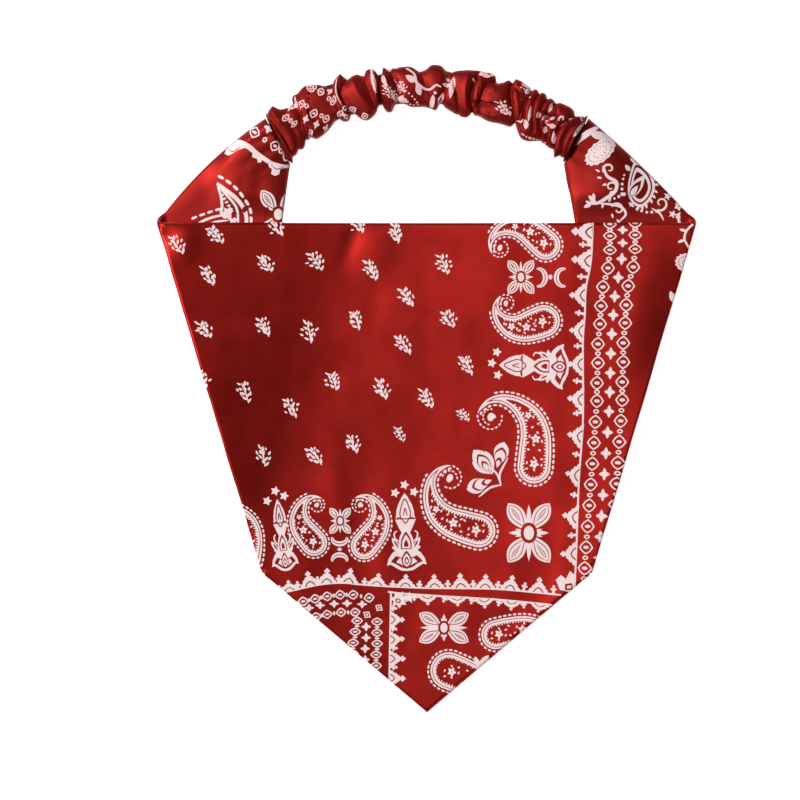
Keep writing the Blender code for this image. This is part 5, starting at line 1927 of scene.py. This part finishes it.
class Look:
    """A new material, its node tree and its shader, with what all the materials here do."""

    def __init__(self, name, **values):
        self.material = bpy.data.materials.new(name)
        self.material.use_nodes = True
        self.tree = self.material.node_tree
        self.shader = set_values(self.tree.nodes["Principled BSDF"], values)

    def node(self, kind, links, **values):
        """A node with outputs linked to its sockets, which are given by name or by number."""
        made = set_values(self.tree.nodes.new("ShaderNode" + kind), values)
        for socket, output in links.items():
            self.tree.links.new(output, made.inputs[socket])
        return made

    def ramp(self, value, colours, places=(0.0, 1.0)):
        ramp = self.node("ValToRGB", {"Fac": value})
        for element, place, colour in zip(ramp.color_ramp.elements, places, colours):
            element.position, element.color = place, colour
        self.tree.links.new(ramp.outputs["Color"], self.shader.inputs["Base Color"])

    def blend(self, share, first, second):
        made = self.node("Mix", {2: first, 3: second}, data_type="FLOAT")
        made.inputs[0].default_value = share
        return made.outputs[0]

    def bump(self, height, strength, distance):
        bump = self.node("Bump", {"Height": height}, Strength=strength, Distance=distance)
        self.tree.links.new(bump.outputs["Normal"], self.shader.inputs["Normal"])


def satin(name, colours, roughness, sheen, lustre):
    """Fine satin: a twill of threads along and across the cut, with a little unevenness."""
    look = Look(name, **{
        "Sheen Weight": sheen, "Sheen Roughness": 0.35, "Sheen Tint": (1.0, 0.20, 0.16, 1),
        "Specular IOR Level": 0.16, "Metallic": lustre,
    })
    place = {"Vector": look.node("Attribute", {}, attribute_name="cut").outputs["Vector"]}
    twill = {"wave_type": "BANDS", "bands_direction": "DIAGONAL", "Distortion": 1.5, "Detail": 1.0}
    threads = look.node("TexWave", place, Scale=THREADS, **twill).outputs["Fac"]
    grain = look.node("TexNoise", place, Scale=GRAIN, Detail=2.0, Roughness=0.6).outputs["Fac"]
    cloudy = look.node("TexNoise", place, Scale=CLOUDY, Detail=3.0, Roughness=0.55).outputs["Fac"]
    look.ramp(look.blend(0.42, cloudy, grain), colours, (0.30, 0.72))
    look.bump(look.blend(0.5, threads, grain), 0.22, 0.00004)
    uneven = {"To Min": roughness - 0.05, "To Max": roughness + 0.06}
    rough = look.node("MapRange", {"Value": cloudy}, **uneven)
    look.tree.links.new(rough.outputs["Result"], look.shader.inputs["Roughness"])
    return look.material


def webbing(name):
    """The woven elastic inside the band."""
    look = Look(name, Roughness=0.8)
    place = {"Vector": look.node("TexCoord", {}).outputs["Object"]}
    woven = {"wave_type": "BANDS", "bands_direction": "Y", "Distortion": 0.6}
    ribs = look.node("TexWave", place, Scale=180.0, **woven)
    fibres = look.node("TexNoise", place, Scale=900.0, Detail=2.0)
    look.ramp(ribs.outputs["Fac"], WEBBING)
    look.bump(fibres.outputs["Fac"], 0.4, 0.0002)
    return look.material


def tabletop(name):
    """A pale table, bright enough by itself to show no shadow, as in the photo."""
    look = Look(name, **{
        "Roughness": 0.9, "Specular IOR Level": 0.1,
        "Emission Color": (1.0, 1.0, 1.0, 1), "Emission Strength": 0.96,
    })
    place = {"Vector": look.node("TexCoord", {}).outputs["Object"]}
    look.ramp(look.node("TexNoise", place, Scale=6.0, Detail=2.0).outputs["Fac"], TABLE)
    return look.material


ground = satin("satin_ground", GROUND, 0.44, 0.05, 0.93)
# the wings' material: the same satin with darker colours, which are painted shade
wing_ground_painted_shade = satin("satin_wings_painted_shade", WING_GROUND_PAINTED_SHADE, 0.55, 0.05, 0.79)
inked_cloth = satin("satin_print", PRINT, 0.50, 0.10, 0.0)
# the band's material: the same satin with darker colours, which are painted shade
band_ground_painted_shade = satin("band_ground_painted_shade", BAND_GROUND_PAINTED_SHADE, 0.56, 0.05, 0.70)
# the band's print material: the print with darker colours, which are painted shade
band_inked_painted_shade = satin("band_print", BAND_PRINT_PAINTED_SHADE, 0.52, 0.10, 0.0)

front_cloth, front_cut, front_area = kerchief_cloth(
    "kerchief_front_cloth", True, front_print(), (ground, inked_cloth)
)
back_cloth, back_cut, back_area = kerchief_cloth(
    "kerchief_back_cloth", False, back_print(), (wing_ground_painted_shade, inked_cloth)
)
casing_cloth = band_casing("band_casing_cloth", band_print(), (band_ground_painted_shade, band_inked_painted_shade))

elastic_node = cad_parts["band_elastic"]
elastic_node.data.materials.clear()
elastic_node.data.materials.append(webbing("woven_elastic"))

for cloth, replaced, slot in (
    (front_cloth, "kerchief_front", "kerchief_cloth"),
    (back_cloth, "kerchief_back", "kerchief_cloth"),
    (casing_cloth, "band_casing", "band_cloth"),
):
    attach(cloth, "root")
    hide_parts(replaced)

# ------------------------------------------------------------------------- floor, light and camera
FLOOR_SIZE, FLOOR_Z = 4.0, -0.0002
WORLD_LOW, WORLD_HIGH = 0.34, 0.03  # brightness of the room near the horizon and overhead
WORLD_TURN = (0.15, 0.80)  # how far up the one goes over into the other
LAMP_COLOUR = (1.0, 0.99, 0.975)
LENS, SENSOR, NEAREST, FURTHEST = 200.0, 36.0, 0.05, 10.0
CAMERA_AT = (-0.0125, -0.0051, 2.0628)  # it looks straight down

scene = bpy.context.scene
bpy.ops.mesh.primitive_plane_add(size=FLOOR_SIZE, location=(0, 0, FLOOR_Z))
floor = bpy.context.active_object
floor.name = "floor"
floor.data.materials.append(tabletop("tabletop"))

world = scene.world or bpy.data.worlds.new("soft_white")
scene.world = world
world.use_nodes = True
nodes, links = world.node_tree.nodes, world.node_tree.links
place = nodes.new("ShaderNodeTexCoord")
split = nodes.new("ShaderNodeSeparateXYZ")
glow = nodes.new("ShaderNodeMapRange")
room = (WORLD_TURN[0], WORLD_TURN[1], WORLD_LOW, WORLD_HIGH)
set_values(glow, dict(zip(("From Min", "From Max", "To Min", "To Max"), room)))
links.new(place.outputs["Generated"], split.inputs["Vector"])
links.new(split.outputs["Z"], glow.inputs["Value"])
links.new(glow.outputs["Result"], nodes["Background"].inputs["Strength"])


def area_light(name, location, size, power):
    """A square lamp that shines at the middle of the part."""
    data = bpy.data.lights.new(name, "AREA")
    data.energy, data.size, data.color = power, size, LAMP_COLOUR
    lamp = bpy.data.objects.new(name, data)
    scene.collection.objects.link(lamp)
    lamp.location = location
    lamp.rotation_euler = (-Vector(location)).to_track_quat("-Z", "Y").to_euler()


area_light("key", (-1.42, 0.56, 2.10), 0.50, 80.0)
area_light("fill", (1.9, -1.5, 0.9), 1.2, 8.0)

camera_data = bpy.data.cameras.new("camera")
camera_data.lens, camera_data.sensor_width = LENS, SENSOR
camera_data.clip_start, camera_data.clip_end = NEAREST, FURTHEST
camera = bpy.data.objects.new("camera", camera_data)
scene.collection.objects.link(camera)
camera.location = CAMERA_AT
bpy.context.scene.camera = camera
scene.view_settings.view_transform = "Standard"
scene.view_settings.look = "None"
